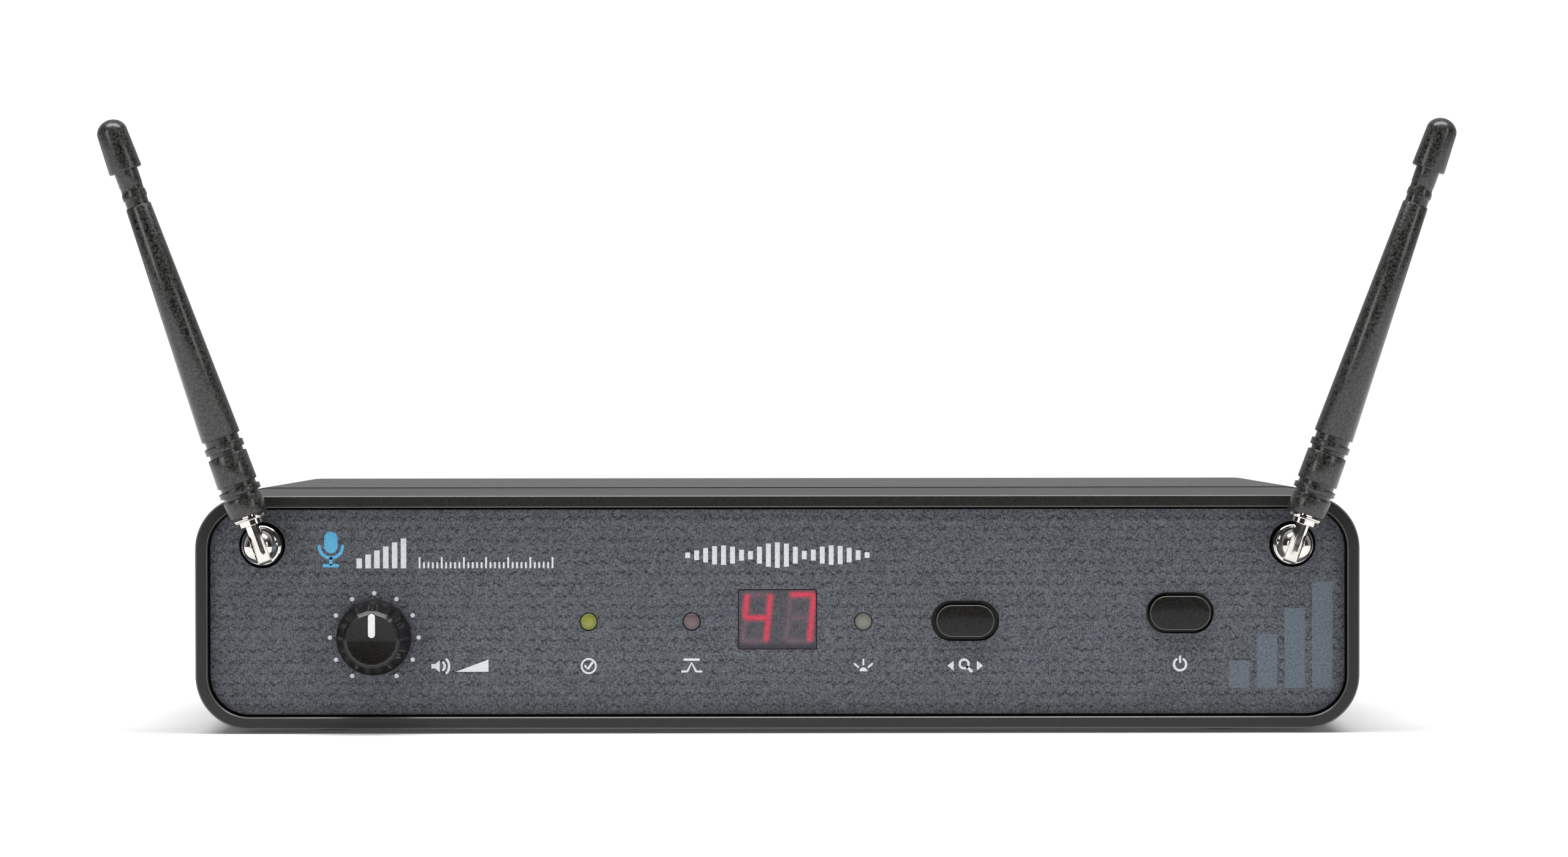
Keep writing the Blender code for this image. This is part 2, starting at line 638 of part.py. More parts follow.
def knob():
    """A fluted, tapered cap. Its rings follow a cosine, so that the flutes run up the side."""
    hub = empty("knob_axis", (KNOB_X, PANEL_Y, KNOB_Z))
    steps = 3 * KNOB_FLUTES
    foot = -KNOB_CLEARANCE
    face = -KNOB_REACH
    shoulder = KNOB_FACE_RADIUS + 0.0004
    bore = SHAFT_RADIUS + GAP
    bore_end = -(SHAFT_REACH + GAP)

    def fluted(radius, depth):
        points = []
        for step in range(steps):
            angle = 2 * math.pi * step / steps
            reach = radius - depth * (0.5 - 0.5 * math.cos(KNOB_FLUTES * angle))
            points.append((reach * math.cos(angle), reach * math.sin(angle)))
        return points

    sections = [
        (bore_end, fluted(bore, 0)), (foot, fluted(bore, 0)),
        (foot, fluted(KNOB_RADIUS, 0)), (foot - KNOB_SKIRT, fluted(KNOB_RADIUS, 0)),
        (foot - KNOB_SKIRT - 0.0005, fluted(KNOB_RADIUS - 0.0003, KNOB_FLUTE_DEPTH)),
        (face + 0.0006, fluted(shoulder, KNOB_FLUTE_DEPTH)),
        (face, fluted(KNOB_FACE_RADIUS - 0.0003, KNOB_FLUTE_DEPTH / 2)),
    ]
    body = loft("volume_knob", sections, "black", parent=hub)
    middle = KNOB_FACE_RADIUS - 0.0003 - POINTER_SIZE[1] / 2
    groove = [size + 2 * POINTER_GAP for size in POINTER_SIZE]
    pocket = solid_plate("pointer_pocket", obround(*groove[::-1]), POINTER_DEPTH * 2,
                         place=(0, face, middle), parent=hub)
    pocket.rotation_euler = (math.pi / 2, math.pi / 2, 0)
    cut(body, pocket)
    pointer = plate("knob_pointer", obround(*POINTER_SIZE[::-1]), POINTER_DEPTH,
                    "white", (0, face + POINTER_DEPTH / 2 - POINTER_GAP, middle), parent=hub)
    pointer.rotation_euler = (math.pi / 2, math.pi / 2, 0)
    length = SHAFT_REACH + FRONT_BOARD_BACK_Y + POT_DEPTH / 2 - PANEL_Y
    rod("pot_shaft", SHAFT_RADIUS, length, "nickel", (0, length / 2 - SHAFT_REACH, 0), FORWARD,
        hub)


def volume_pot():
    """The control's can and threaded bushing, bored for the shaft, and the nut on the bushing."""
    back = FRONT_BOARD_BACK_Y + GAP + POT_DEPTH
    front = back - FRONT_BOARD_Y
    bushing_end = back - PANEL_BACK_Y
    bore = SHAFT_RADIUS + GAP
    bore_end = POT_DEPTH / 2 - GAP
    profile = [(0, bore_end), (bore, bore_end), (bore, bushing_end),
               (BUSHING_RADIUS, bushing_end), (BUSHING_RADIUS, POT_DEPTH), (POT_RADIUS, POT_DEPTH),
               (POT_RADIUS, 0), (0, 0)]
    turned("volume_pot", profile, "nickel", (KNOB_X, back, KNOB_Z), FORWARD)
    plate("pot_nut", hexagon(POT_NUT_FLATS), NUT_THICKNESS, "nickel",
          (KNOB_X, back - front - GAP - NUT_THICKNESS / 2, KNOB_Z),
          holes=[circle(BUSHING_RADIUS + GAP)])


def button(name, size, hole, place, stem_radius, stem_end):
    """A push button: a cap through the panel, a rim behind it, and a stem to the switch."""
    x, z = place
    hub = empty(f"{name}_axis", (x, PANEL_Y, z))
    rim_start = PANEL_THICKNESS + GAP
    edge = 0.0005

    def cap(inset):
        return obround(size[0] - 2 * inset, size[1] - 2 * inset)

    rim = obround(hole[0] + 2 * FLANGE_MARGIN, hole[1] + 2 * FLANGE_MARGIN)
    sections = [
        (-BUTTON_REACH, cap(edge)), (-BUTTON_REACH + edge * 0.4, cap(edge * 0.3)),
        (-BUTTON_REACH + edge, cap(0)), (rim_start, cap(0)), (rim_start, rim),
        (rim_start + BUTTON_FLANGE, rim),
    ]
    body = loft(name, sections, "black", parent=hub)
    stem_start = rim_start + BUTTON_FLANGE / 2
    stem = rod(f"{name}_stem", stem_radius, stem_end - stem_start,
               place=(0, (stem_start + stem_end) / 2, 0), turn=FORWARD, parent=hub, steps=12)
    join(body, stem)


def switch(name, size, place, front, well_radius, well_depth):
    x, z = place
    body = box(name, size, "black", (x, front + size[1] / 2, z))
    cut(body, hole_cutter(f"{name}_well", well_radius, -well_depth, 0.001, (x, front, z),
                          FORWARD))


def buttons():
    scan = (SCAN_X, CASE_BOTTOM + SCAN_HEIGHT)
    scan_front = PANEL_THICKNESS + GAP + BUTTON_FLANGE + SCAN_TRAVEL + GAP
    button("scan_button", SCAN_SIZE, SCAN_HOLE, scan, SCAN_STEM_RADIUS, scan_front + GAP)
    scan_depth = FRONT_BOARD_Y - GAP - PANEL_Y - scan_front
    switch("scan_switch", (SCAN_SWITCH_WIDTH, scan_depth, SCAN_SWITCH_WIDTH), scan,
           PANEL_Y + scan_front, SCAN_STEM_RADIUS + GAP, SCAN_TRAVEL + 3 * GAP)
    power = (POWER_X, CASE_BOTTOM + POWER_HEIGHT)
    power_stem = STEM_RADIUS - GAP
    power_front = FRONT_BOARD_BACK_Y + GAP
    button("power_button", POWER_SIZE, POWER_HOLE, power, power_stem,
           power_front - PANEL_Y + GAP)
    switch("power_switch", POWER_SWITCH_SIZE, power, power_front, power_stem + GAP,
           POWER_TRAVEL + 3 * GAP)


# ---------------------------------------------------------------- antennas

def whip_profile():
    """(radius, height above the pin) down a whip: cap, neck, long taper, and two grooved sleeves."""
    tip = WHIP_LENGTH
    dome = [(0.00265 * math.sin(a), tip - 0.0022 + 0.0022 * math.cos(a))
            for a in (0, math.radians(35), math.radians(62), math.radians(82))]
    upper = [
        (0.00282, tip - 0.0094), (0.00260, tip - 0.0096), (0.00205, tip - 0.0096),
        (0.00195, tip - 0.0130), (0.00220, tip - 0.0140), (0.00220, tip - 0.0153),
        (0.00195, tip - 0.0155), (0.00195, tip - 0.0162), (0.00222, tip - 0.0163),
    ]
    lower = [
        (0.00352, 0.0208), (0.00300, 0.0207), (0.00300, 0.0196), (0.00350, 0.0195),
        (0.00350, 0.0183), (0.00300, 0.0182), (0.00300, 0.0175), (0.00350, 0.0174),
        (0.00360, 0.0120), (0.00310, 0.0119), (0.00310, 0.0112),
        (WHIP_RING_RADIUS, 0.0111), (WHIP_RING_RADIUS, 0.0101), (0.00310, 0.0100),
        (0.00310, 0.0094), (0.00350, 0.0093), (0.00345, WHIP_START + 0.0002),
        (0.00325, WHIP_START),
    ]
    bore = STUD_RADIUS + GAP
    bore_end = DISC_START + STUD_LENGTH + GAP
    return [*dome, *upper, *lower, (bore, WHIP_START), (bore, bore_end), (0, bore_end)]


def antenna(side, x, lean):
    """One antenna in its own frame: X along the fold pin, Z along the whip, -Y to the front."""
    hub = empty(f"{side}_antenna_axis", (x, PIVOT_Y, ANTENNA_Z), (0, lean, 0))
    panel = PANEL_Y - PIVOT_Y      # the panel's face behind the pin
    board = FRONT_BOARD_Y - PIVOT_Y
    board_back = FRONT_BOARD_BACK_Y - PIVOT_Y
    bush_end = board_back + GAP + NUT_THICKNESS + 0.001

    # The knuckle turns in the bush. A shape that points forward has its depth as minus height.
    slot = TONGUE_THICKNESS / 2 + GAP
    slot_floor = TONGUE_TAIL + GAP
    collar = slot_floor + 0.0002
    dome = [(KNUCKLE_RADIUS * math.sin(a), KNUCKLE_RADIUS * math.cos(a))
            for a in (math.pi / 2 * step / 5 for step in range(6))]
    profile = [
        *dome, (KNUCKLE_RADIUS, -collar), (KNUCKLE_COLLAR, -collar),
        (KNUCKLE_COLLAR, -collar - COLLAR_THICKNESS), (STEM_RADIUS, -collar - COLLAR_THICKNESS),
        (STEM_RADIUS, -bush_end - GAP), (STEM_RADIUS + 2 * GAP, -bush_end - GAP),
        (STEM_RADIUS + 2 * GAP, -bush_end - STEM_TAIL), (0, -bush_end - STEM_TAIL),
    ]
    knuckle = turned(f"antenna_knuckle_{side}", profile, "nickel", turn=FORWARD, parent=hub)
    slot_length = KNUCKLE_RADIUS + slot_floor + 0.001
    slot_cutter = box(f"{side}_slot", (2 * slot, slot_length, 4 * KNUCKLE_RADIUS),
                      place=(0, slot_floor - slot_length / 2, 0))
    slot_cutter.parent = hub
    pin_hole = rod(f"{side}_pin_hole", PIN_RADIUS + GAP, 4 * KNUCKLE_RADIUS,
                   turn=(0, math.pi / 2, 0), parent=hub, steps=12)
    cut(knuckle, slot_cutter, pin_hole)
    rod(f"antenna_pin_{side}", PIN_RADIUS, PIN_LENGTH, "nickel", turn=(0, math.pi / 2, 0),
        parent=hub, steps=12)

    # The hinge: a tongue on the pin, a block, a disc, and a stud inside the whip.
    tail = TONGUE_WIDTH / 2
    tongue_top = DISC_START + 0.0002
    sweep = [math.pi + math.pi * step / 8 for step in range(9)]
    outline = [(tail * math.cos(a), tail - TONGUE_TAIL + tail * math.sin(a)) for a in sweep]
    outline += [(tail, tongue_top), (-tail, tongue_top)]
    hinge = solid_plate(f"antenna_hinge_{side}", outline, TONGUE_THICKNESS, "nickel",
                        turn=(math.pi / 2, 0, math.pi / 2), parent=hub,
                        holes=[circle(PIN_RADIUS + GAP, steps=12)])
    stud_end = DISC_START + STUD_LENGTH
    disc = [(0, stud_end), (STUD_RADIUS, stud_end), (STUD_RADIUS, WHIP_START - GAP),
            (DISC_RADIUS, WHIP_START - GAP), (DISC_RADIUS, DISC_START),
            (BLOCK_RADIUS, DISC_START), (BLOCK_RADIUS, BLOCK_START), (0, BLOCK_START)]
    join(hinge, turned(f"{side}_disc", disc, parent=hub))
    turned(f"antenna_whip_{side}", whip_profile(), "black", parent=hub)

    # The bush is fixed: its nose fills the hole in the panel, and a nut holds it to the board.
    bore = STEM_RADIUS + GAP
    nose = panel + BUSH_RECESS
    bush = [(bore, -nose), (BUSH_RADIUS, -nose), (BUSH_RADIUS, -board + GAP + 0.001),
            (BUSH_FLANGE_RADIUS, -board + GAP + 0.001), (BUSH_FLANGE_RADIUS, -board + GAP),
            (BUSH_RADIUS, -board + GAP), (BUSH_RADIUS, -bush_end), (bore, -bush_end)]
    place = (x, PIVOT_Y, ANTENNA_Z)
    turned(f"antenna_bush_{side}", bush, "black", place, FORWARD, ring=True)
    plate(f"antenna_nut_{side}", hexagon(ANTENNA_NUT_FLATS), NUT_THICKNESS, "nickel",
          (x, FRONT_BOARD_BACK_Y + GAP + NUT_THICKNESS / 2, ANTENNA_Z),
          holes=[circle(BUSH_RADIUS + GAP)])

    # The lead runs from behind the knuckle's stem to the radio board.
    toward = -1 if x > 0 else 1
    start = PIVOT_Y + bush_end + STEM_TAIL + GAP
    rest = MAIN_BOARD_TOP + LEAD_RADIUS + GAP
    drop = ANTENNA_Z - rest
    tube(f"antenna_lead_{side}", [
        (x, start, ANTENNA_Z), (x, start + 0.004, ANTENNA_Z),
        (x + toward * 0.004, start + 0.011, rest + 0.78 * drop),
        (x + toward * 0.014, start + 0.018, rest + 0.30 * drop),
        (x + toward * 0.026, start + 0.022, rest + 0.05 * drop),
        (x + toward * 0.034, start + 0.023, rest),
        (x + toward * 0.040, start + 0.023, rest),
    ], LEAD_RADIUS, "lead")


# ---------------------------------------------------------------- boards

def main_board():
    depth = MAIN_BOARD_BACK_Y - MAIN_BOARD_FRONT_Y
    middle = (MAIN_BOARD_BACK_Y + MAIN_BOARD_FRONT_Y) / 2
    holes = [circle(SCREW_RADIUS + GAP, (x, y - middle), 12)
             for x in (-BOSS_X, BOSS_X) for y in (FRONT_BOSS_Y, REAR_BOSS_Y)]
    plate("main_board", rounded(MAIN_BOARD_WIDTH, depth, 0.002, steps=2), BOARD_THICKNESS,
          "board", (0, middle, MAIN_BOARD_Z + BOARD_THICKNESS / 2), (0, 0, 0), holes)
    height = SHIELD_SIZE[2]
    box("radio_shield", SHIELD_SIZE, "nickel",
        (0, middle + 0.008, MAIN_BOARD_TOP + GAP + height / 2))
    for end, y in (("front", FRONT_BOSS_Y), ("rear", REAR_BOSS_Y)):
        for side, x in (("left", -BOSS_X), ("right", BOSS_X)):
            pan_screw(f"board_screw_{end}_{side}", (x, y, MAIN_BOARD_TOP + GAP), (0, 0, 0),
                      BOARD_THICKNESS + BOSS_HEIGHT)


def ribbon():
    """A flat cable from the back of the front board down to the main board."""
    start_y = FRONT_BOARD_BACK_Y + 3 * GAP + RIBBON_THICKNESS / 2
    end_z = MAIN_BOARD_TOP + 2 * GAP + RIBBON_THICKNESS / 2
    top = CASE_BOTTOM + WINDOW_HEIGHT + 0.006
    end_y = MAIN_BOARD_FRONT_Y + 0.008
    path = smooth_path([Vector(point) for point in (
        (0, start_y, top), (0, start_y, top - 0.004), (0, start_y + 0.005, top - 0.008),
        (0, (start_y + end_y) / 2, (top + end_z) / 2), (0, end_y - 0.008, end_z + 0.003),
        (0, end_y - 0.003, end_z), (0, end_y, end_z))], 0.0025)
    bm = bmesh.new()
    rows = [[bm.verts.new((side * RIBBON_WIDTH / 2, point.y, point.z)) for side in (-1, 1)]
            for point in path]
    for near, far in zip(rows, rows[1:]):
        bm.faces.new((near[0], near[1], far[1], far[0]))
    strip = add(object_from(bm, "front_ribbon"), "front_ribbon", "ribbon")
    solidify = strip.modifiers.new("thickness", "SOLIDIFY")
    solidify.thickness = RIBBON_THICKNESS
    solidify.offset = 0
    solidify.use_even_offset = True


# ---------------------------------------------------------------- rear sockets

def xlr_screw_places():
    dx, dz = XLR_SCREW_OFFSET
    return [(XLR_X - dx, CASE_MIDDLE + dz), (XLR_X + dx, CASE_MIDDLE - dz)]


def xlr_socket():
    """A three-pin socket: shell with its flange, insert, pins and two screws."""
    back = BACK_Y + GAP
    face = back + XLR_FLANGE_THICKNESS
    screws = [circle(SCREW_RADIUS + GAP, (x - XLR_X, z - CASE_MIDDLE), 12)
              for x, z in xlr_screw_places()]
    place = (XLR_X, back + XLR_FLANGE_THICKNESS / 2, CASE_MIDDLE)
    shell = solid_plate("xlr_shell", rounded(*XLR_FLANGE, 0.003, steps=4), XLR_FLANGE_THICKNESS,
                        "case", place, holes=[circle(XLR_WELL_RADIUS, steps=28), *screws])
    barrel = [(XLR_WELL_RADIUS, 0), (XLR_RADIUS, 0), (XLR_RADIUS, -XLR_DEPTH),
              (XLR_WELL_RADIUS, -XLR_DEPTH)]
    join(shell, turned("xlr_barrel", barrel, place=(XLR_X, face, CASE_MIDDLE), turn=BACKWARD,
                       ring=True, steps=28))
    insert_y = face - XLR_DEPTH + XLR_INSERT_THICKNESS / 2
    angles = [math.radians(degrees) for degrees in (150, 30, 270)]
    pins = [(XLR_PIN_CIRCLE * math.cos(a), XLR_PIN_CIRCLE * math.sin(a)) for a in angles]
    plate("xlr_insert", circle(XLR_WELL_RADIUS - GAP, steps=28), XLR_INSERT_THICKNESS, "black",
          (XLR_X, insert_y, CASE_MIDDLE),
          holes=[circle(XLR_PIN_RADIUS + GAP, pin, 12) for pin in pins])
    length = XLR_PIN_LENGTH + XLR_INSERT_THICKNESS + 0.003
    tip = face - XLR_DEPTH + XLR_INSERT_THICKNESS + XLR_PIN_LENGTH
    profile = [(0, 0), (XLR_PIN_RADIUS * 0.6, -0.0002), (XLR_PIN_RADIUS, -0.0012),
               (XLR_PIN_RADIUS, -length), (0, -length)]
    for number, (dx, dz) in enumerate(pins, 1):
        turned(f"xlr_pin_{number}", profile, "nickel", (XLR_X + dx, tip, CASE_MIDDLE + dz),
               BACKWARD, steps=12)
    for number, (x, z) in enumerate(xlr_screw_places(), 1):
        pan_screw(f"xlr_screw_{number}", (x, face + GAP, z), BACKWARD,
                  XLR_SCREW_LENGTH)


def socket_body(name, size, bush_radius, reach, bore_radius, bore_end, x):
    """A block inside the back wall with a round bush through it, bored from the outside."""
    front = BACK_Y - WALL - GAP
    body = box(name, size, "black", (x, front - size[1] / 2, CASE_MIDDLE))
    join(body, hole_cutter(f"{name}_bush", bush_radius, -WALL - 0.002, reach,
                           (x, BACK_Y, CASE_MIDDLE), BACKWARD))
    cut(body, hole_cutter(f"{name}_bore", bore_radius, -bore_end, reach + 0.001,
                          (x, BACK_Y, CASE_MIDDLE), BACKWARD))
    return body


def jack_socket():
    socket_body("jack_socket", JACK_BODY, JACK_BUSH_RADIUS, JACK_REACH, JACK_BORE_RADIUS,
                JACK_BODY[1], JACK_X)
    plate("jack_nut", hexagon(JACK_NUT_FLATS), NUT_THICKNESS, "nickel",
          (JACK_X, BACK_Y + GAP + NUT_THICKNESS / 2, CASE_MIDDLE),
          holes=[circle(JACK_BUSH_RADIUS + GAP)])


def power_inlet():
    """The low-voltage inlet and its centre pin, which stands in a hole in the inlet's floor."""
    inner = WALL + GAP + DC_BODY[1]
    body = socket_body("power_inlet", DC_BODY, DC_BUSH_RADIUS, DC_REACH, DC_BORE_RADIUS,
                       inner - DC_FLOOR, DC_X)
    cut(body, hole_cutter("inlet_pin_hole", DC_PIN_RADIUS + GAP, -inner - 0.001, 0,
                          (DC_X, BACK_Y, CASE_MIDDLE), BACKWARD))
    length = inner + 0.001
    rod("inlet_pin", DC_PIN_RADIUS, length, "nickel",
        (DC_X, BACK_Y - 0.0015 - length / 2, CASE_MIDDLE), BACKWARD, steps=12)


front_housing()
rear_housing()
feet()
case_screws()
face_panel()
front_board()
lamp("ready_lamp", READY_X, "ready", 0.0003)
lamp("peak_lamp", PEAK_X, "peak", 0.0003)
lamp("infrared_window", IR_X, "infrared", 0.0001)
display()
knob()
volume_pot()
buttons()
antenna("left", -ANTENNA_X, -ANTENNA_LEAN)
antenna("right", ANTENNA_X, ANTENNA_LEAN)
main_board()
ribbon()
xlr_socket()
jack_socket()
power_inlet()
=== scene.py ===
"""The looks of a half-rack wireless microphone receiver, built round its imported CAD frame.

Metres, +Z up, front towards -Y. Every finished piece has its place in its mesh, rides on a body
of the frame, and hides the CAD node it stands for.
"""

import json
import math

import bmesh
import bpy
from mathutils import Matrix, Vector


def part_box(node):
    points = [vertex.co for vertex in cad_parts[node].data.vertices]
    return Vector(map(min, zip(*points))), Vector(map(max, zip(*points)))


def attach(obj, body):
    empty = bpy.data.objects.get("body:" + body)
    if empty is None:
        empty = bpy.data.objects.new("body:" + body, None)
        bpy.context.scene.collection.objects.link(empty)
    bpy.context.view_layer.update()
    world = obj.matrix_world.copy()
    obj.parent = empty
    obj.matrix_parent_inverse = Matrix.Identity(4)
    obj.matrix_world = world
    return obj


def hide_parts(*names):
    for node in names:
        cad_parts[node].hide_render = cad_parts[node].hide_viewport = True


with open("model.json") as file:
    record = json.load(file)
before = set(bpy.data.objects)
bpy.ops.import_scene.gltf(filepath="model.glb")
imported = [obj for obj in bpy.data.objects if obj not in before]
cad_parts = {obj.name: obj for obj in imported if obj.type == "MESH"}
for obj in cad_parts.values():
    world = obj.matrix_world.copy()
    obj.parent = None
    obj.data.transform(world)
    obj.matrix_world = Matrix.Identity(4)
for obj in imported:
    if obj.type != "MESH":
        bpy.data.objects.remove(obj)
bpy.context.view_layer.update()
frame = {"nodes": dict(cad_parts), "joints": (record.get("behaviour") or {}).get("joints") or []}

NODES = frame["nodes"]
JOINTS = {joint["name"]: joint for joint in frame["joints"]}
SIDES = ("left", "right")

# ---- sizes and places

MM = 0.001
GAP = 0.0003  # room between pieces that meet
ROUND = 48  # facets of a turned piece
CORNER = 20  # facets of a case corner
SMALL_CORNER = 12  # facets of a small corner

CASE_LOW, FRONT_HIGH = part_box("front_housing")
CASE_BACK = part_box("rear_housing")[1]
PANEL_LOW, PANEL_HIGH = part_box("face_panel")
FRONT_Y, BACK_Y = CASE_LOW.y, CASE_BACK.y
CASE_WIDTH = FRONT_HIGH.x - CASE_LOW.x
CASE_BOTTOM, CASE_TOP = CASE_LOW.z, FRONT_HIGH.z
CASE_HEIGHT = CASE_TOP - CASE_BOTTOM
CASE_MIDDLE = (CASE_BOTTOM + CASE_TOP) / 2
CASE_DEPTH = BACK_Y - FRONT_Y
FRONT_LENGTH = FRONT_HIGH.y + GAP / 2 - FRONT_Y
CORNER_RADIUS = 0.0097
WALL = 0.0022
REAR_INSET = 0.0057  # how far the rear half draws in at its back
EDGE = 0.0005  # rounding of the rear half's back edge
RIM_EDGE = 0.0003  # chamfer of the rim's outer edge
RIM_BORE = 0.0002  # and of its inner one
RIM_SLOPE = 0.00015  # how far the rim's face falls back towards its outer edge
FRONT_DRAFT = 0.00018  # how much the front half narrows on its way to the seam
SPIGOT_LENGTH = 0.010  # tongue of the rear half inside the front half
SPIGOT_WALL = 0.0020
LEDGE_WIDTH = 0.0015  # rib that the panel rests on
FOOT_RADIUS = 0.006
FOOT_SEAT = 0.0007
BOSS_RADIUS = 0.0030
SCREW_RADIUS = 0.0014
SCREW_HEAD_RADIUS = 0.0027
CASE_SCREW_HEAD = 0.0010  # heights of screw heads
SCREW_HEAD = 0.0015

PANEL_Y, PANEL_BACK_Y = PANEL_LOW.y, PANEL_HIGH.y
PANEL_CORNER = CORNER_RADIUS - (PANEL_LOW.x - CASE_LOW.x)
BOARD_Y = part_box("front_board")[0].y
PRINT_SINK = 0.00002  # ink in the panel's face
PRINT_HEIGHT = 0.00003  # ink on it
PEN = 0.42  # width of a printed line, in mm
LABEL_Z = CASE_BOTTOM + 0.0113  # middle of the row of pictograms
SCALE_WIDTH, SCALE_HEIGHT = 0.001943, 0.001993  # of the panel's scale pattern

KNOB = Vector(JOINTS["volume_turn"]["pos_m"])
KNOB_HOLE = 0.0039
FLUTES = 18
LAMP_RADIUS = 0.0015
BUTTON_FLANGE = 0.0008  # thickness of a button's rim behind the panel
FLANGE_MARGIN = 0.0006  # and how far it is wider than the hole
BUTTONS = {  # sizes of the cap and of the hole, name, radius of the stem
    "scan_button": ((0.0105, 0.0058), (0.0122, 0.00725), "scan_cap", 0.0011),
    "power_button": ((0.0110, 0.0062), (0.0121, 0.0074), "power_cap", 0.0021)}
PIVOTS = {side: Vector(JOINTS[f"{side}_fold"]["pos_m"]) for side in SIDES}
LEANS = {"left": -19.5, "right": 19.5}
BUSH_HOLE = 0.00415
WHIP_LENGTH = 0.0812
SLEEVE_END = 0.0059  # foot of the whip above its pin


def spin(axis, degrees):
    return Matrix.Rotation(math.radians(degrees), 4, axis)


FORWARD = spin("X", 90)  # turns a shape's own +Z to the front
BACKWARD = spin("X", -90)  # turns a shape's own +Z to the back
DOWNWARD = spin("X", 180)


def span(node):
    """The low corner, the high corner and the middle of a CAD node's box."""
    low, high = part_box(node)
    return low, high, (low + high) / 2


def centre_of(node):
    return span(node)[2]


XLR_X, JACK_X, INLET_X = (centre_of(node).x for node in ("xlr_shell", "jack_socket", "power_inlet"))
XLR_BARREL, JACK_BUSH, INLET_BUSH = 0.0115, 0.0050, 0.0043


def srgb(*levels):
    """Screen levels from 0 to 255 as linear colour."""
    return (*((level / 255) ** 2.2 for level in levels), 1.0)


# ---- nodes

class Value:
    """A node's output. Reckoning with it adds math nodes to its tree."""

    def __init__(self, owner, socket):
        self.owner, self.socket = owner, socket

    def __add__(self, other):
        return self.owner.math("ADD", self, other)

    def __sub__(self, other):
        return self.owner.math("SUBTRACT", self, other)

    def __rsub__(self, other):
        return self.owner.math("SUBTRACT", other, self)

    def __mul__(self, other):
        return self.owner.math("MULTIPLY", self, other)

    def __truediv__(self, other):
        return self.owner.math("DIVIDE", self, other)


class Nodes:
    """A tree of nodes."""

    def __init__(self, tree):
        self.tree = tree

    def fill(self, socket, value):
        if isinstance(value, Value):
            self.tree.links.new(value.socket, socket)
        else:
            socket.default_value = value

    def add(self, kind, inputs=(), out=0, **settings):
        node = self.tree.nodes.new(kind)
        for name, value in settings.items():
            setattr(node, name, value)
        for socket, value in dict(inputs).items():
            self.fill(node.inputs[socket], value)
        return Value(self, node.outputs[out]) if node.outputs else None

    def math(self, operation, *values, **settings):
        return self.add("ShaderNodeMath", enumerate(values), operation=operation, **settings)

    def spread(self, value, low, high, to_low=0.0, to_high=1.0, ease="LINEAR"):
        """Maps a range of one value to a range of another, held at its ends."""
        return self.add("ShaderNodeMapRange", enumerate((value, low, high, to_low, to_high)),
                        interpolation_type=ease, clamp=True)

    def split(self, vector):
        first = self.add("ShaderNodeSeparateXYZ", {0: vector})
        return [Value(self, output) for output in first.socket.node.outputs]


class Finish(Nodes):
    """A material on a Principled shader, with nodes on the object's own coordinates."""

    def __init__(self, name, **sockets):
        self.material = bpy.data.materials.new(name)
        self.material.use_nodes = True
        super().__init__(self.material.node_tree)
        self.link(**sockets)
        self.coords = self.add("ShaderNodeTexCoord", out="Object")

    def link(self, **sockets):
        """Sets the shader's sockets to values or links them, and gives the material."""
        shader = self.tree.nodes["Principled BSDF"]
        for name, value in sockets.items():
            self.fill(shader.inputs[name.replace("_", " ")], value)
        return self.material

    def noise(self, scale, detail=2.0, roughness=0.5, vector=None):
        return self.add("ShaderNodeTexNoise", {
            "Vector": vector or self.coords, "Scale": scale, "Detail": detail,
            "Roughness": roughness}, "Fac")

    def named(self, attribute):
        """A number that the piece carries in its mesh."""
        return self.add("ShaderNodeAttribute", out="Fac", attribute_name=attribute)

    def mix(self, factor, first, second):
        return self.add("ShaderNodeMix", {0: factor, 6: first, 7: second}, 2, data_type="RGBA")

    def blend(self, value, low, high, first, second):
        """One colour where a value is low, another where it is high."""
        return self.mix(self.spread(value, low, high), first, second)

    def bump(self, height, distance):
        return self.add("ShaderNodeBump", {"Height": height, "Distance": distance,
                                           "Strength": 1.0})


# ---- finishes

PAINTED_EDGE_HIGHLIGHT = srgb(96, 94, 91)  # painted highlight on the front chamfers, lighter than the plastic itself


def moulded(name, dark, light, roughness, grain, depth, patchy=0.45, **sockets):
    """Moulded plastic: two near shades in soft patches, a fine pebble grain and painted edge
    highlights.
    """
    made = Finish(name, **sockets)
    edge, fine = made.named("edge"), made.noise(grain)
    shade = made.noise(90, 3) * patchy + fine * (1.0 - patchy)
    return made.link(
        Base_Color=made.mix(edge, made.blend(shade, 0.35, 0.65, dark, light), PAINTED_EDGE_HIGHLIGHT),
        Roughness=made.spread(fine, 0.3, 0.7, roughness - 0.06, roughness + 0.06) - edge * 0.18,
        Normal=made.bump(fine, depth))


def case_paint(name, **sockets):
    """Satin black plastic with a fine grain, a trace of handling on its broad faces, and a painted
    highlight on its front chamfers.
    """
    made = Finish(name, IOR=1.5, Coat_Roughness=0.10, **sockets)
    edge, fine = made.named("edge"), made.noise(2600)
    wear_and_highlight = made.spread(made.noise(35, 4), 0.55, 0.75)
    base = made.blend(fine, 0.3, 0.7, srgb(30, 30, 29), srgb(41, 40, 39))
    base = made.mix(wear_and_highlight * 0.25, base, srgb(47, 46, 45))
    edge_highlight_and_wear = made.math("MAXIMUM", edge, wear_and_highlight * 0.4)
    return made.link(Base_Color=made.mix(edge, base, PAINTED_EDGE_HIGHLIGHT),
                     Roughness=made.spread(fine, 0.3, 0.7, 0.38, 0.48) - edge_highlight_and_wear * 0.1,
                     Normal=made.bump(fine, 0.000010))


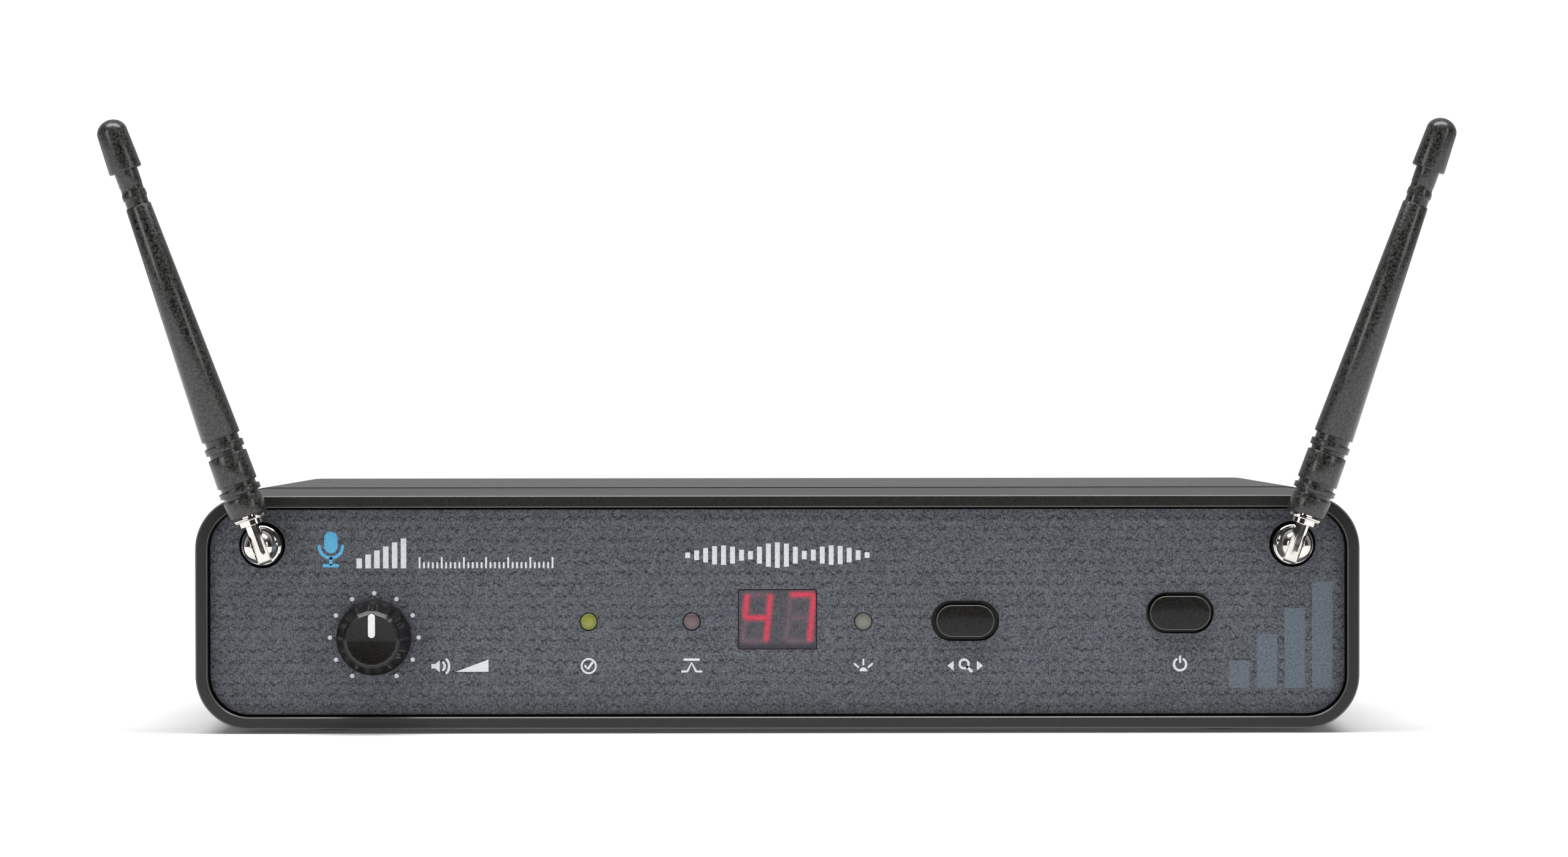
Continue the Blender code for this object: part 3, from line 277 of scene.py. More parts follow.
def panel_print():
    """Blue-grey film with a fine crinkle and rows of wavy dark lines, like small scales."""
    made = Finish("panel_scale_print", IOR=1.45, Specular_IOR_Level=0.3)
    x, _, z = made.split(made.coords)
    swing = made.spread(made.math("SINE", x * (2 * math.pi / SCALE_WIDTH)), -0.35, 0.35, -0.5, 0.5)
    wander = made.noise(700, 1) - 0.5
    row = z / SCALE_HEIGHT + (swing * 0.21 + wander * 0.16)
    line = made.spread(made.math("ABSOLUTE", made.math("FRACT", row) - 0.5), 0.02, 0.14, 1.0, 0.0)
    lines = line * made.spread(made.noise(1300, 1), 0.42, 0.54)
    grain = made.noise(3800, 3, 0.75)
    speckle = (made.spread(grain, 0.34, 0.66, 0.25, 1.75)
               * made.spread(made.noise(1150, 1), 0.3, 0.7, 0.88, 1.12))
    level = speckle * (1.0 - lines * 0.58)
    light = made.blend(made.noise(260), 0.52, 0.66, srgb(117, 120, 126), srgb(114, 118, 127))
    return made.link(Base_Color=made.blend(level, 0.15, 1.70, srgb(30, 32, 35), light),
                     Roughness=made.spread(grain, 0.3, 0.7, 0.45, 0.58),
                     Normal=made.bump(grain, 0.000008))


def ink(name, colour, other):
    """Screen-printed ink, a little uneven, with a slight weave from the screen."""
    made = Finish(name, Roughness=0.45, IOR=1.48)
    return made.link(Base_Color=made.blend(made.noise(2600), 0.35, 0.65, colour, other),
                     Normal=made.bump(made.noise(5000, 1), 0.000003))


def polished_nickel():
    """Bright plated metal with faint turning lines and smudges."""
    made = Finish("polished_nickel", Metallic=1.0)
    smudge = made.noise(420, 3)
    lines = made.noise(1.0, 1, vector=made.add("ShaderNodeMapping", {
        "Vector": made.coords, "Scale": (900, 9000, 900)}))
    return made.link(
        Base_Color=made.blend(smudge, 0.3, 0.7, (0.80, 0.78, 0.75, 1), (0.66, 0.63, 0.60, 1)),
        Roughness=made.spread(smudge, 0.35, 0.7, 0.03, 0.09) + lines * 0.03,
        Normal=made.bump(lines, 0.0000012))


def screw_steel():
    """Black-oxide steel, rubbed a little on its high spots."""
    made = Finish("black_oxide_steel", Metallic=1.0)
    wear_and_highlight = made.noise(1800, 3)
    return made.link(
        Base_Color=made.blend(wear_and_highlight, 0.45, 0.75, (0.035, 0.035, 0.038, 1), (0.16, 0.155, 0.15, 1)),
        Roughness=made.spread(wear_and_highlight, 0.3, 0.7, 0.28, 0.48), Normal=made.bump(wear_and_highlight, 0.000004))


def circuit_board():
    """Green solder mask over copper tracks, with a fine glass weave."""
    made = Finish("circuit_board_green", Roughness=0.35, IOR=1.5)
    x, y, z = made.split(made.coords)
    nearest = made.math("MINIMUM", made.math("PINGPONG", x + z, 0.0012),
                        made.math("PINGPONG", y, 0.0016))
    tracks = (made.math("LESS_THAN", nearest, 0.00028)
              * made.spread(made.noise(60, 1), 0.48, 0.52))
    return made.link(
        Base_Color=made.mix(tracks, (0.008, 0.075, 0.022, 1), (0.02, 0.16, 0.05, 1)),
        Normal=made.bump(tracks + made.noise(3000, 1) * 0.2, 0.000015))


def display_glass():
    """The filter's body behind the lit face."""
    made = Finish("display_red_filter", Roughness=0.22, IOR=1.5)
    return made.link(
        Base_Color=made.blend(made.noise(500), 0.3, 0.7, srgb(58, 34, 40), srgb(70, 44, 50)),
        Normal=made.bump(made.noise(2500, 1), 0.000002))


def display_light():
    """Smoked film over a digit display: lit bars glow through it, and unlit ones show faintly."""
    low, high, middle = span("display_window")
    half = (high.x - low.x) / 2
    made = Finish("display_smoked_film", IOR=1.45, Emission_Color=srgb(232, 52, 82))
    x, _, z = made.split(made.coords)
    side = made.spread(made.math("ABSOLUTE", x - middle.x), half - 0.0006, half, 0, 0.6)
    foot = made.spread(z, low.z + 0.0016, low.z + 0.0004, 0, 0.85)
    head = made.spread(z, high.z - 0.0005, high.z, 0, 0.6)
    border = made.math("MAXIMUM", side, made.math("MAXIMUM", foot, head))
    grain = made.noise(2600, 3, 0.75)
    glow, dim = made.named("glow"), made.named("dim")
    body = made.blend(grain, 0.3, 0.7, srgb(56, 55, 60), srgb(98, 96, 103))
    body = made.mix(border, body, srgb(52, 50, 57))
    body = made.mix(dim * 0.6, body, srgb(122, 94, 106))
    return made.link(Base_Color=made.mix(glow, body, srgb(120, 40, 56)),
                     Emission_Strength=glow * made.spread(grain, 0.3, 0.7, 0.52, 0.88),
                     Roughness=made.spread(grain, 0.3, 0.7, 0.38, 0.5),
                     Normal=made.bump(grain, 0.000006))


def lamp_lens(name, core, edge, centre):
    """A diffusing lens: lighter in the middle, with a fine moulded haze."""
    made = Finish(name, Roughness=0.28, IOR=1.5)
    x, _, z = made.split(made.coords)
    across, up = x - centre.x, z - centre.z
    away = made.math("SQRT", across * across + up * up)
    rim = made.spread(away, LAMP_RADIUS * 0.35, LAMP_RADIUS)
    share = made.math("ADD", rim, (made.noise(2400) - 0.5) * 0.5, use_clamp=True)
    return made.link(Base_Color=made.mix(share, core, edge),
                     Normal=made.bump(made.noise(3000, 1), 0.000006))


CASE = case_paint("case_satin_black", Coat_Weight=0.18, Specular_IOR_Level=0.48)
CASE_FRONT = case_paint("case_front_black", Coat_Weight=0.10, Specular_IOR_Level=0.39)
PANEL = panel_print()
BLACK = moulded("satin_black_plastic", srgb(4, 4, 4), srgb(36, 34, 32), 0.40, 3600, 0.000016, 0.1,
                Specular_IOR_Level=0.22, Coat_Weight=0.28, Coat_Roughness=0.06)
WHIP = moulded("whip_black", srgb(3, 3, 3), srgb(64, 63, 61), 0.32, 2300, 0.00005, 0.05,
               Coat_Weight=0.38, Coat_Roughness=0.16)
WHITE = ink("white_ink", srgb(216, 218, 222), srgb(234, 235, 238))
CYAN = ink("cyan_ink", srgb(78, 166, 214), srgb(104, 186, 230))
TINT = ink("slate_tint", srgb(84, 93, 103), srgb(108, 117, 127))
POINTER = moulded("pointer_white", srgb(228, 228, 228), srgb(246, 246, 246), 0.4, 1500, 0.000004)
RUBBER = moulded("foot_rubber_black", srgb(22, 22, 22), srgb(34, 34, 34), 0.78, 1400, 0.00003)
NICKEL = polished_nickel()
STEEL = screw_steel()
BOARD = circuit_board()
GLASS = display_glass()
DIGITS = display_light()
LEAD = moulded("lead_black", srgb(28, 28, 28), srgb(40, 40, 40), 0.55, 1200, 0.00001)
RIBBON = moulded("ribbon_grey_pvc", srgb(120, 120, 124), srgb(150, 150, 152), 0.5, 900, 0.00001)


# ---- mesh helpers

def new_object(name, data):
    made = bpy.data.objects.new(name, data)
    bpy.context.scene.collection.objects.link(made)
    return made


def mesh_object(bm, name):
    mesh = bpy.data.meshes.new(name)
    bm.to_mesh(mesh)
    bm.free()
    return new_object(name, mesh)


def object_from(bm, name):
    """A closed mesh object from a bmesh, with its doubles merged and its faces outward."""
    bmesh.ops.remove_doubles(bm, verts=bm.verts, dist=1e-7)
    bmesh.ops.recalc_face_normals(bm, faces=bm.faces)
    return mesh_object(bm, name)


def turned(name, profile, place=Matrix(), steps=ROUND, ring=False):
    """A solid of revolution about its own Z, from (radius, height) points."""
    bm = bmesh.new()
    turns = [2 * math.pi * step / steps for step in range(steps)]
    rings = []
    for radius, height in profile:
        spots = [(radius * math.cos(a), radius * math.sin(a), height) for a in turns]
        rings.append([bm.verts.new(spot) for spot in (spots if radius > 0 else spots[:1])])
    for one, two in zip(rings, rings[1:] + rings[:1] * ring):
        for step in range(steps):
            corners = [loop[(step + ahead) % len(loop)]
                       for loop, ahead in ((one, 0), (one, 1), (two, 1), (two, 0))]
            corners = list(dict.fromkeys(corners))
            if len(corners) > 2:
                bm.faces.new(corners)
    bm.transform(place)
    return object_from(bm, name)


def arc(centre, radius, start, end, steps=SMALL_CORNER):
    """Points on an arc, with its angles in degrees."""
    turns = [math.radians(start + (end - start) * step / steps) for step in range(steps + 1)]
    return [(centre[0] + radius * math.cos(a), centre[1] + radius * math.sin(a)) for a in turns]


def dome(radius, base, rise, end=90, steps=6):
    """A turned profile from the top of a dome down its side."""
    turns = [math.radians(end * step / steps) for step in range(steps + 1)]
    return [(radius * math.sin(a), base + rise * math.cos(a)) for a in turns]


def ring_outline(radius, centre=(0, 0), steps=ROUND):
    return arc(centre, radius, 0, 360, steps)[:-1]


def rounded(width, height, radius, centre=(0, 0), steps=SMALL_CORNER):
    """The outline of a rectangle with round corners, anticlockwise."""
    points = []
    for quarter, (sx, sy) in enumerate(((1, 1), (-1, 1), (-1, -1), (1, -1))):
        corner = (sx * (width / 2 - radius) + centre[0], sy * (height / 2 - radius) + centre[1])
        points += arc(corner, radius, 90 * quarter, 90 * quarter + 90, steps)
    return points


def obround(width, height, centre=(0, 0)):
    return rounded(width, height, min(width, height) / 2 - 1e-6, centre)


def stroke(points, width, closed=False):
    """The outline of a pen line of one width with round ends; closed gives two outlines."""
    half = width / 2
    path = [Vector(point) for point in points]
    sides = ([], [])
    for index, point in enumerate(path):
        if closed:
            along = path[(index + 1) % len(path)] - path[index - 1]
        else:
            along = path[min(index + 1, len(path) - 1)] - path[max(index - 1, 0)]
        normal = Vector((-along.y, along.x)).normalized() * half
        sides[0].append(tuple(point + normal))
        sides[1].append(tuple(point - normal))
    if closed:
        return sides
    start = math.degrees(math.atan2(*(path[1] - path[0]).yx))
    end = math.degrees(math.atan2(*(path[-1] - path[-2]).yx))
    tail = arc(path[0], half, start + 90, start + 270, 6)
    head = arc(path[-1], half, end - 90, end + 90, 6)
    return [tail[1:-1] + sides[1] + head[1:-1] + sides[0][::-1]]


def baked_mesh(obj):
    bpy.context.view_layer.update()
    evaluated = obj.evaluated_get(bpy.context.evaluated_depsgraph_get())
    return bpy.data.meshes.new_from_object(evaluated)


def bake(obj):
    """Applies every modifier of an object to its mesh."""
    mesh = baked_mesh(obj)
    obj.modifiers.clear()
    obj.data = mesh
    return obj


def plate(name, outlines, low, high, place=FORWARD, edge=0.0):
    """A flat piece from its outline and holes, from low to high along its own Z."""
    curve = bpy.data.curves.new(name, "CURVE")
    curve.dimensions, curve.fill_mode = "2D", "BOTH"
    curve.extrude = (high - low) / 2 - edge
    curve.bevel_depth, curve.bevel_resolution, curve.offset = edge, 2, -edge
    for loop in outlines:
        spline = curve.splines.new("POLY")
        spline.points.add(len(loop) - 1)
        for point, (x, y) in zip(spline.points, loop):
            point.co = (x, y, 0, 1)
        spline.use_cyclic_u = True
    holder = new_object(name, curve)
    bm = bmesh.new()
    bm.from_mesh(baked_mesh(holder))
    bpy.data.objects.remove(holder)
    bm.transform(place @ Matrix.Translation((0, 0, (low + high) / 2)))
    return object_from(bm, name)


def loft(name, sections, ring=False):
    """A skin through outlines that lie across Y: (y, outline) each, all with as many points."""
    bm = bmesh.new()
    loops = [[bm.verts.new((x, y, z)) for x, z in outline] for y, outline in sections]
    if not ring:
        bm.faces.new(loops[0])
        bm.faces.new(loops[-1])
    for near, far in zip(loops, loops[1:] + loops[:1] * ring):
        for index in range(len(near)):
            after = (index + 1) % len(near)
            bm.faces.new((near[index], near[after], far[after], far[index]))
    return object_from(bm, name)


def combine(target, operation, *others):
    for other in others:
        modifier = target.modifiers.new("shape", "BOOLEAN")
        modifier.operation = operation
        modifier.solver = "EXACT"
        modifier.object = other
    bake(target)
    for other in others:
        bpy.data.objects.remove(other)


def cut(target, *others):
    combine(target, "DIFFERENCE", *others)


def join(target, *others):
    combine(target, "UNION", *others)


def gather(name, objects):
    """Several closed shapes as one object."""
    bm = bmesh.new()
    for obj in objects:
        bm.from_mesh(obj.data)
        bpy.data.objects.remove(obj)
    return mesh_object(bm, name)


def finish(obj, name, material, slot, *nodes, body="receiver", angle=32):
    """Names, shades and dresses a piece, and ties it to the frame."""
    obj.name = obj.data.name = name
    obj.data.materials.clear()
    obj.data.materials.append(material)
    for face in obj.data.polygons:
        face.material_index = 0
    obj.data.shade_smooth()
    obj.data.set_sharp_from_angle(angle=math.radians(angle))
    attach(obj, body)
    if nodes:
        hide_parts(*nodes)


def mark_edge_highlight(obj, front, reach, wear_and_highlight=1.0):
    """Marks the chamfers at the front of a piece for a painted highlight, for its material to read.
    """
    marks = obj.data.attributes.new("edge", "FLOAT", "FACE").data
    for mark, face in zip(marks, obj.data.polygons):
        slanted = -0.93 < face.normal.y < -0.35
        mark.value = wear_and_highlight if slanted and face.center.y < front + reach else 0.0


def at(x, y, z, turn=FORWARD):
    return Matrix.Translation((x, y, z)) @ turn


def upright(spot, z=0.0):
    return Matrix.Translation((spot.x, spot.y, z))


def rod(name, radius, low, high, place, steps=ROUND):
    return turned(name, [(0, high), (radius, high), (radius, low), (0, low)], place, steps)


# ---- Geometry Nodes

class Tree(Nodes):
    """A Geometry Nodes tree whose inputs are named: geometry, the given ones, and a material."""

    KINDS = {int: "Int", float: "Float", tuple: "Vector"}

    def __init__(self, name, **inputs):
        super().__init__(bpy.data.node_groups.new(name, "GeometryNodeTree"))
        self.tree.is_modifier = True
        self.keys = {}
        self.new_socket("Geometry", "Geometry")
        for label, value in inputs.items():
            self.new_socket(label, self.KINDS[type(value)]).default_value = value
        self.new_socket("Material", "Material")
        self.new_socket("Geometry", "Geometry", "OUTPUT")
        self.source = self.tree.nodes.new("NodeGroupInput")

    def new_socket(self, label, kind, way="INPUT"):
        socket = self.tree.interface.new_socket(label, in_out=way, socket_type="NodeSocket" + kind)
        if way == "INPUT":
            self.keys[label] = socket.identifier
        return socket

    def __getitem__(self, label):
        return Value(self, self.source.outputs[label])

    def vector(self, x=0.0, y=0.0, z=0.0):
        return self.add("ShaderNodeCombineXYZ", enumerate((x, y, z)))

    def standing(self, shape, place=(0.0, 0.0, 0.0)):
        """A flat shape turned to face the front."""
        return self.add("GeometryNodeTransform", {
            0: shape, "Rotation": (math.pi / 2, 0.0, 0.0), "Translation": place})

    def thick(self, face):
        """A closed plate from a flat face, as thick as the tree's own depth."""
        body = self.add("GeometryNodeExtrudeMesh", {
            0: face, "Offset Scale": self["Depth"], "Individual": False})
        back = self.add("GeometryNodeFlipFaces", {0: face})
        both = self.add("GeometryNodeJoinGeometry")
        for part in (body, back):
            self.fill(both.socket.node.inputs[0], part)
        return self.add("GeometryNodeMergeByDistance", {0: both, "Distance": 1e-6})

    def stamped(self, points, shape, **inputs):
        return self.add("GeometryNodeInstanceOnPoints", {"Points": points, "Instance": shape,
                                                         **inputs})

    def end(self, geometry):
        """Real geometry with its material at the tree's end."""
        real = self.add("GeometryNodeRealizeInstances", {0: geometry})
        self.add("NodeGroupOutput", {0: self.add("GeometryNodeSetMaterial", {
            0: real, "Material": self["Material"]})})
        return self

    def run(self, name, base=None, **values):
        """Runs the tree on a base object, or on nothing, and gives a plain mesh object."""
        base = base or new_object(name, bpy.data.meshes.new(name))
        modifier = base.modifiers.new("nodes", "NODES")
        modifier.node_group = self.tree
        for label, value in values.items():
            modifier[self.keys[label]] = value
        return bake(base)


def bar_row_tree():
    """A row of upright bars; their heights follow a wave, a slope, or a beat of tall ones."""
    tree = Tree("bar_row", Count=10, Pitch=0.002, Width=0.001, Low=0.001, High=0.004, Waves=1.0,
                Wave=0.0, Slope=0.0, Beat=0.0, Every=5, Centred=0.0, Start=(0.0, 0.0, 0.0),
                Depth=0.00005)
    line = tree.add("GeometryNodeMeshLine", {
        "Count": tree["Count"], "Start Location": tree["Start"],
        "Offset": tree.vector(tree["Pitch"])})
    index = tree.add("GeometryNodeInputIndex")
    share = index / (tree["Count"] - 1.0)
    swing = tree.math("SINE", share * (tree["Waves"] * math.pi))
    hump = tree.math("SINE", share * math.pi)
    wave = tree.math("ABSOLUTE", swing) * (hump * 0.65 + 0.35)
    beat = tree.math("LESS_THAN", tree.math("MODULO", index, tree["Every"]), 0.5)
    rise = wave * tree["Wave"] + (share * tree["Slope"] + beat * tree["Beat"])
    height = tree["Low"] + rise * (tree["High"] - tree["Low"])
    bar = tree.add("GeometryNodeCurvePrimitiveQuadrilateral", {
        "Width": tree["Width"], "Height": 1.0})
    body = tree.thick(tree.add("GeometryNodeFillCurve", {0: bar}))
    bars = tree.stamped(line, tree.standing(body), Scale=tree.vector(1.0, 1.0, height))
    return tree.end(tree.add("GeometryNodeTranslateInstances", {
        0: bars, "Translation": tree.vector(z=height * (0.5 - tree["Centred"])),
        "Local Space": False}))


def dial_tree():
    """Round dots on part of a circle, with the gap at its foot."""
    tree = Tree("dial_dots", Count=11, Radius=0.008, Step=math.radians(30), Dot=0.0004,
                Depth=0.00005, Centre=(0.0, 0.0, 0.0))
    line = tree.add("GeometryNodeMeshLine", {"Count": tree["Count"]})
    angle = (tree.add("GeometryNodeInputIndex") - (tree["Count"] - 1.0) / 2.0) * tree["Step"]
    spot = tree.vector(tree.math("SINE", angle) * tree["Radius"], 0.0,
                       tree.math("COSINE", angle) * tree["Radius"])
    moved = tree.add("ShaderNodeVectorMath", {0: spot, 1: tree["Centre"]}, operation="ADD")
    placed = tree.add("GeometryNodeSetPosition", {0: line, "Position": moved})
    dot = tree.add("GeometryNodeMeshCylinder", {
        "Vertices": 24, "Radius": tree["Dot"], "Depth": tree["Depth"]})
    return tree.end(tree.stamped(placed, tree.standing(dot)))


def flute_tree():
    """Presses flutes into a turned cap: a cosine round its axis, eased in along its side."""
    tree = Tree("knob_flutes", Flutes=FLUTES, Depth=0.0004, Foot=0.001, Full=0.002, Face=0.009,
                Inner=0.004)

    def eased(value, start, full):
        return tree.spread(value, start, full, ease="SMOOTHSTEP")

    x, y, z = tree.split(tree.add("GeometryNodeInputPosition"))
    radius = tree.math("SQRT", x * x + y * y)
    angle = tree.math("ARCTAN2", y, x)
    press = 0.5 - tree.math("COSINE", angle * tree["Flutes"]) * 0.5
    side = eased(z, tree["Foot"], tree["Full"])
    top = 1.0 - eased(z, tree["Face"] - 0.0022, tree["Face"] - 0.0003) * 0.86
    outer = eased(radius, tree["Inner"] - 0.0007, tree["Inner"])
    depth = tree["Depth"] * (press * (side * (top * outer)))
    scale = depth * -1.0 / tree.math("MAXIMUM", radius, 1e-6)
    return tree.end(tree.add("GeometryNodeSetPosition", {
        0: tree["Geometry"], "Offset": tree.vector(x * scale, y * scale)}))


def digit_sheet_tree():
    """A thin sheet that knows, at every point, how near it is to a lit or an unlit bar."""
    tree = Tree("digit_sheet", Width=0.014, Height=0.010, Columns=120, Rows=90, Core=0.0004,
                Blur=0.0003, Depth=0.00003, Centre=(0.0, 0.0, 0.0))
    sheet = tree.add("GeometryNodeMeshGrid", {
        "Size X": tree["Width"], "Size Y": tree["Height"], "Vertices X": tree["Columns"],
        "Vertices Y": tree["Rows"]})
    lit = tree.add("GeometryNodeInputNamedAttribute", {"Name": "lit"}, data_type="BOOLEAN")
    bars = tree.add("GeometryNodeSeparateGeometry", {0: tree["Geometry"], 1: lit}, domain="EDGE")
    inner, outer = tree["Core"] - tree["Blur"], tree["Core"] + tree["Blur"]
    for label, branch in zip(("glow", "dim"), bars.socket.node.outputs):
        near = tree.add("GeometryNodeProximity", {0: Value(tree, branch)}, "Distance",
                        target_element="EDGES")
        sheet = tree.add("GeometryNodeStoreNamedAttribute", {
            0: sheet, "Name": label, "Value": tree.spread(near, outer, inner, ease="SMOOTHSTEP")},
            data_type="FLOAT", domain="POINT")
    return tree.end(tree.standing(tree.thick(sheet), tree["Centre"]))


BAR_ROW = bar_row_tree()


# ---- case

def case_skin(name, stations, ring=False):
    """A skin through the case's sections, from (depth behind the front, inset) stations."""
    sections = []
    for y, inset in stations:
        taper = max(0.0, (y - FRONT_LENGTH) / (CASE_DEPTH - FRONT_LENGTH)) * REAR_INSET
        sections.append((FRONT_Y + y, rounded(
            CASE_WIDTH - 2 * taper - 2 * inset, CASE_HEIGHT - 2 * inset, CORNER_RADIUS - inset,
            (0, CASE_MIDDLE), CORNER)))
    return loft(name, sections, ring)


def furnish(housing, end):
    """Posts for the main board, and seats for the feet, at one end of the case."""
    floor, top = CASE_BOTTOM + WALL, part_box("main_board")[0].z - GAP
    posts = [centre_of(f"board_screw_{end}_{side}") for side in SIDES]
    feet = [centre_of(f"foot_{end}_{side}") for side in SIDES]
    join(housing, *[rod("post", BOSS_RADIUS, floor - WALL / 2, top, upright(post), 32)
                    for post in posts])
    cut(housing, *[rod("hole", SCREW_RADIUS + GAP, floor, top + 0.001, upright(post), 24)
                   for post in posts])
    cut(housing, *[rod("seat", FOOT_RADIUS + GAP, -0.002, FOOT_SEAT, upright(foot, CASE_BOTTOM))
                   for foot in feet])


def front_case():
    ledge_start = PANEL_BACK_Y - FRONT_Y + GAP
    ledge_end = BOARD_Y - FRONT_Y - GAP
    end = FRONT_LENGTH - GAP / 2
    flat = RIM_SLOPE + RIM_EDGE
    housing = case_skin("front", [
        (RIM_SLOPE, RIM_EDGE), (RIM_SLOPE + RIM_EDGE * 0.05, RIM_EDGE * 0.85),
        (RIM_SLOPE + RIM_EDGE * 0.85, RIM_EDGE * 0.05), (flat, 0), (flat + 0.0002, 0),
        (end - 0.0004, FRONT_DRAFT), (end - 0.0001, FRONT_DRAFT), (end, FRONT_DRAFT + 0.0001),
        (end, WALL), (ledge_end, WALL), (ledge_end, WALL + LEDGE_WIDTH),
        (ledge_start, WALL + LEDGE_WIDTH), (ledge_start, WALL), (RIM_BORE + 0.0002, WALL),
        (RIM_BORE, WALL), (0, WALL - RIM_BORE)], ring=True)
    furnish(housing, "front")
    for side in SIDES:
        place = upright(centre_of(f"case_screw_{side}"), CASE_BOTTOM)
        cut(housing, rod("head", SCREW_HEAD_RADIUS + GAP, -0.001, 0.0013, place, 32),
            rod("hole", SCREW_RADIUS + GAP, -0.001, WALL + 0.001, place, 24))
    finish(housing, "case_front", CASE_FRONT, "case_black", "front_housing")
    # painted highlight on the rim's front chamfers
    mark_edge_highlight(housing, FRONT_Y, 0.0006)


def rear_case():
    spigot, seam = WALL + GAP, FRONT_LENGTH + GAP / 2
    neck, start = FRONT_LENGTH + 0.002, FRONT_LENGTH - SPIGOT_LENGTH
    housing = case_skin("rear", [
        (CASE_DEPTH - WALL, WALL), (neck + 0.006, WALL), (neck, spigot + SPIGOT_WALL),
        (start, spigot + SPIGOT_WALL), (start, spigot), (seam, spigot), (seam, 0.00005),
        (seam + 0.00005, 0), (seam + 0.0004, 0), (CASE_DEPTH - EDGE - 0.0003, 0),
        *arc((CASE_DEPTH - EDGE, EDGE), EDGE, -90, 0, 4)])
    furnish(housing, "rear")
    for side in SIDES:
        cut(housing, rod("hole", SCREW_RADIUS + GAP, WALL - 0.002, WALL + 0.008,
                         upright(centre_of(f"case_screw_{side}"), CASE_BOTTOM), 24))
    holes = [(XLR_X, CASE_MIDDLE, XLR_BARREL), (JACK_X, CASE_MIDDLE, JACK_BUSH),
             (INLET_X, CASE_MIDDLE, INLET_BUSH)]
    for number in (1, 2):
        place = centre_of(f"xlr_screw_{number}")
        holes.append((place.x, place.z, SCREW_RADIUS))
    for x, z, radius in holes:
        cut(housing, rod("hole", radius + GAP, -2 * WALL, 0.001, at(x, BACK_Y, z, BACKWARD)))
    finish(housing, "case_back", CASE, "case_black", "rear_housing")


def feet():
    for end in ("front", "rear"):
        for side in SIDES:
            node = f"foot_{end}_{side}"
            low, high, middle = span(node)
            edge = (high.z - low.z) / 3
            foot = turned(node, [
                (0, high.z), (FOOT_RADIUS, high.z),
                *arc((FOOT_RADIUS - edge, low.z + edge), edge, 0, -90, 4),
                (FOOT_RADIUS * 0.5, low.z), (0, low.z)], upright(middle))
            finish(foot, f"rubber_foot_{end}_{side}", RUBBER, "foot_rubber", node)


def screw(node, name, place, top, length, flat=False):
    """A screw with a cross recess. Its place is under the head, its own +Z out of the head."""
    head = SCREW_HEAD_RADIUS
    crown = dome(head, top * 0.45, top * 0.55)
    if flat:
        crown = [(0, top), (head - 0.00015, top), (head, top - 0.00015)]
    made = turned(node, [*crown, (head, 0), (SCREW_RADIUS, 0), (SCREW_RADIUS, -length * 0.85),
                         (SCREW_RADIUS * 0.5, -length), (0, -length)], place, 32)
    wings = []
    for turn in (0, 90):
        wing = loft("wing", [(y, rounded(head * 1.24, 0.0006, 0.0001, steps=2))
                             for y in (-0.0009, 0.0004)])
        wing.data.transform(place @ Matrix.Translation((0, 0, top)) @ spin("Z", turn)
                            @ spin("X", 90))
        wings.append(wing)
    cut(made, *wings)
    finish(made, name, STEEL, "screw_steel", node)


def screws():
    for side in SIDES:
        low, high, middle = span(f"case_screw_{side}")
        seat = low.z + CASE_SCREW_HEAD
        screw(f"case_screw_{side}", f"floor_screw_{side}", upright(middle, seat) @ DOWNWARD,
              CASE_SCREW_HEAD, high.z - seat, flat=True)
        for spot in (f"front_{side}", f"rear_{side}"):
            low, high, middle = span(f"board_screw_{spot}")
            seat = high.z - SCREW_HEAD
            screw(f"board_screw_{spot}", f"post_screw_{spot}", upright(middle, seat),
                  SCREW_HEAD, seat - low.z)
    for number in (1, 2):
        low, high, middle = span(f"xlr_screw_{number}")
        seat = high.y - SCREW_HEAD
        screw(f"xlr_screw_{number}", f"flange_screw_{number}",
              at(middle.x, seat, middle.z, BACKWARD), SCREW_HEAD, seat - low.y)


# ---- panel and its print

def panel():
    low, high, middle = span("display_window")
    holes = [ring_outline(BUSH_HOLE, (pivot.x, pivot.z)) for pivot in PIVOTS.values()]
    holes.append(ring_outline(KNOB_HOLE, (KNOB.x, KNOB.z)))
    for node in ("ready_lamp", "peak_lamp", "infrared_window"):
        holes.append(ring_outline(LAMP_RADIUS + GAP / 2, centre_of(node).xz, 32))
    holes.append(rounded(high.x - low.x + GAP / 3, high.z - low.z + GAP / 3, 0.0003,
                         (0, middle.z), steps=2))
    for node, (_, hole, *_) in BUTTONS.items():
        holes.append(obround(*hole, centre_of(node).xz))
    outline = rounded(PANEL_HIGH.x - PANEL_LOW.x, PANEL_HIGH.z - PANEL_LOW.z, PANEL_CORNER,
                      (0, CASE_MIDDLE), CORNER)
    sheet = plate("panel", [outline, *holes], 0, PANEL_BACK_Y - PANEL_Y,
                  at(0, PANEL_BACK_Y, 0), edge=0.00008)
    finish(sheet, "panel_sheet", PANEL, "panel_print", "face_panel")


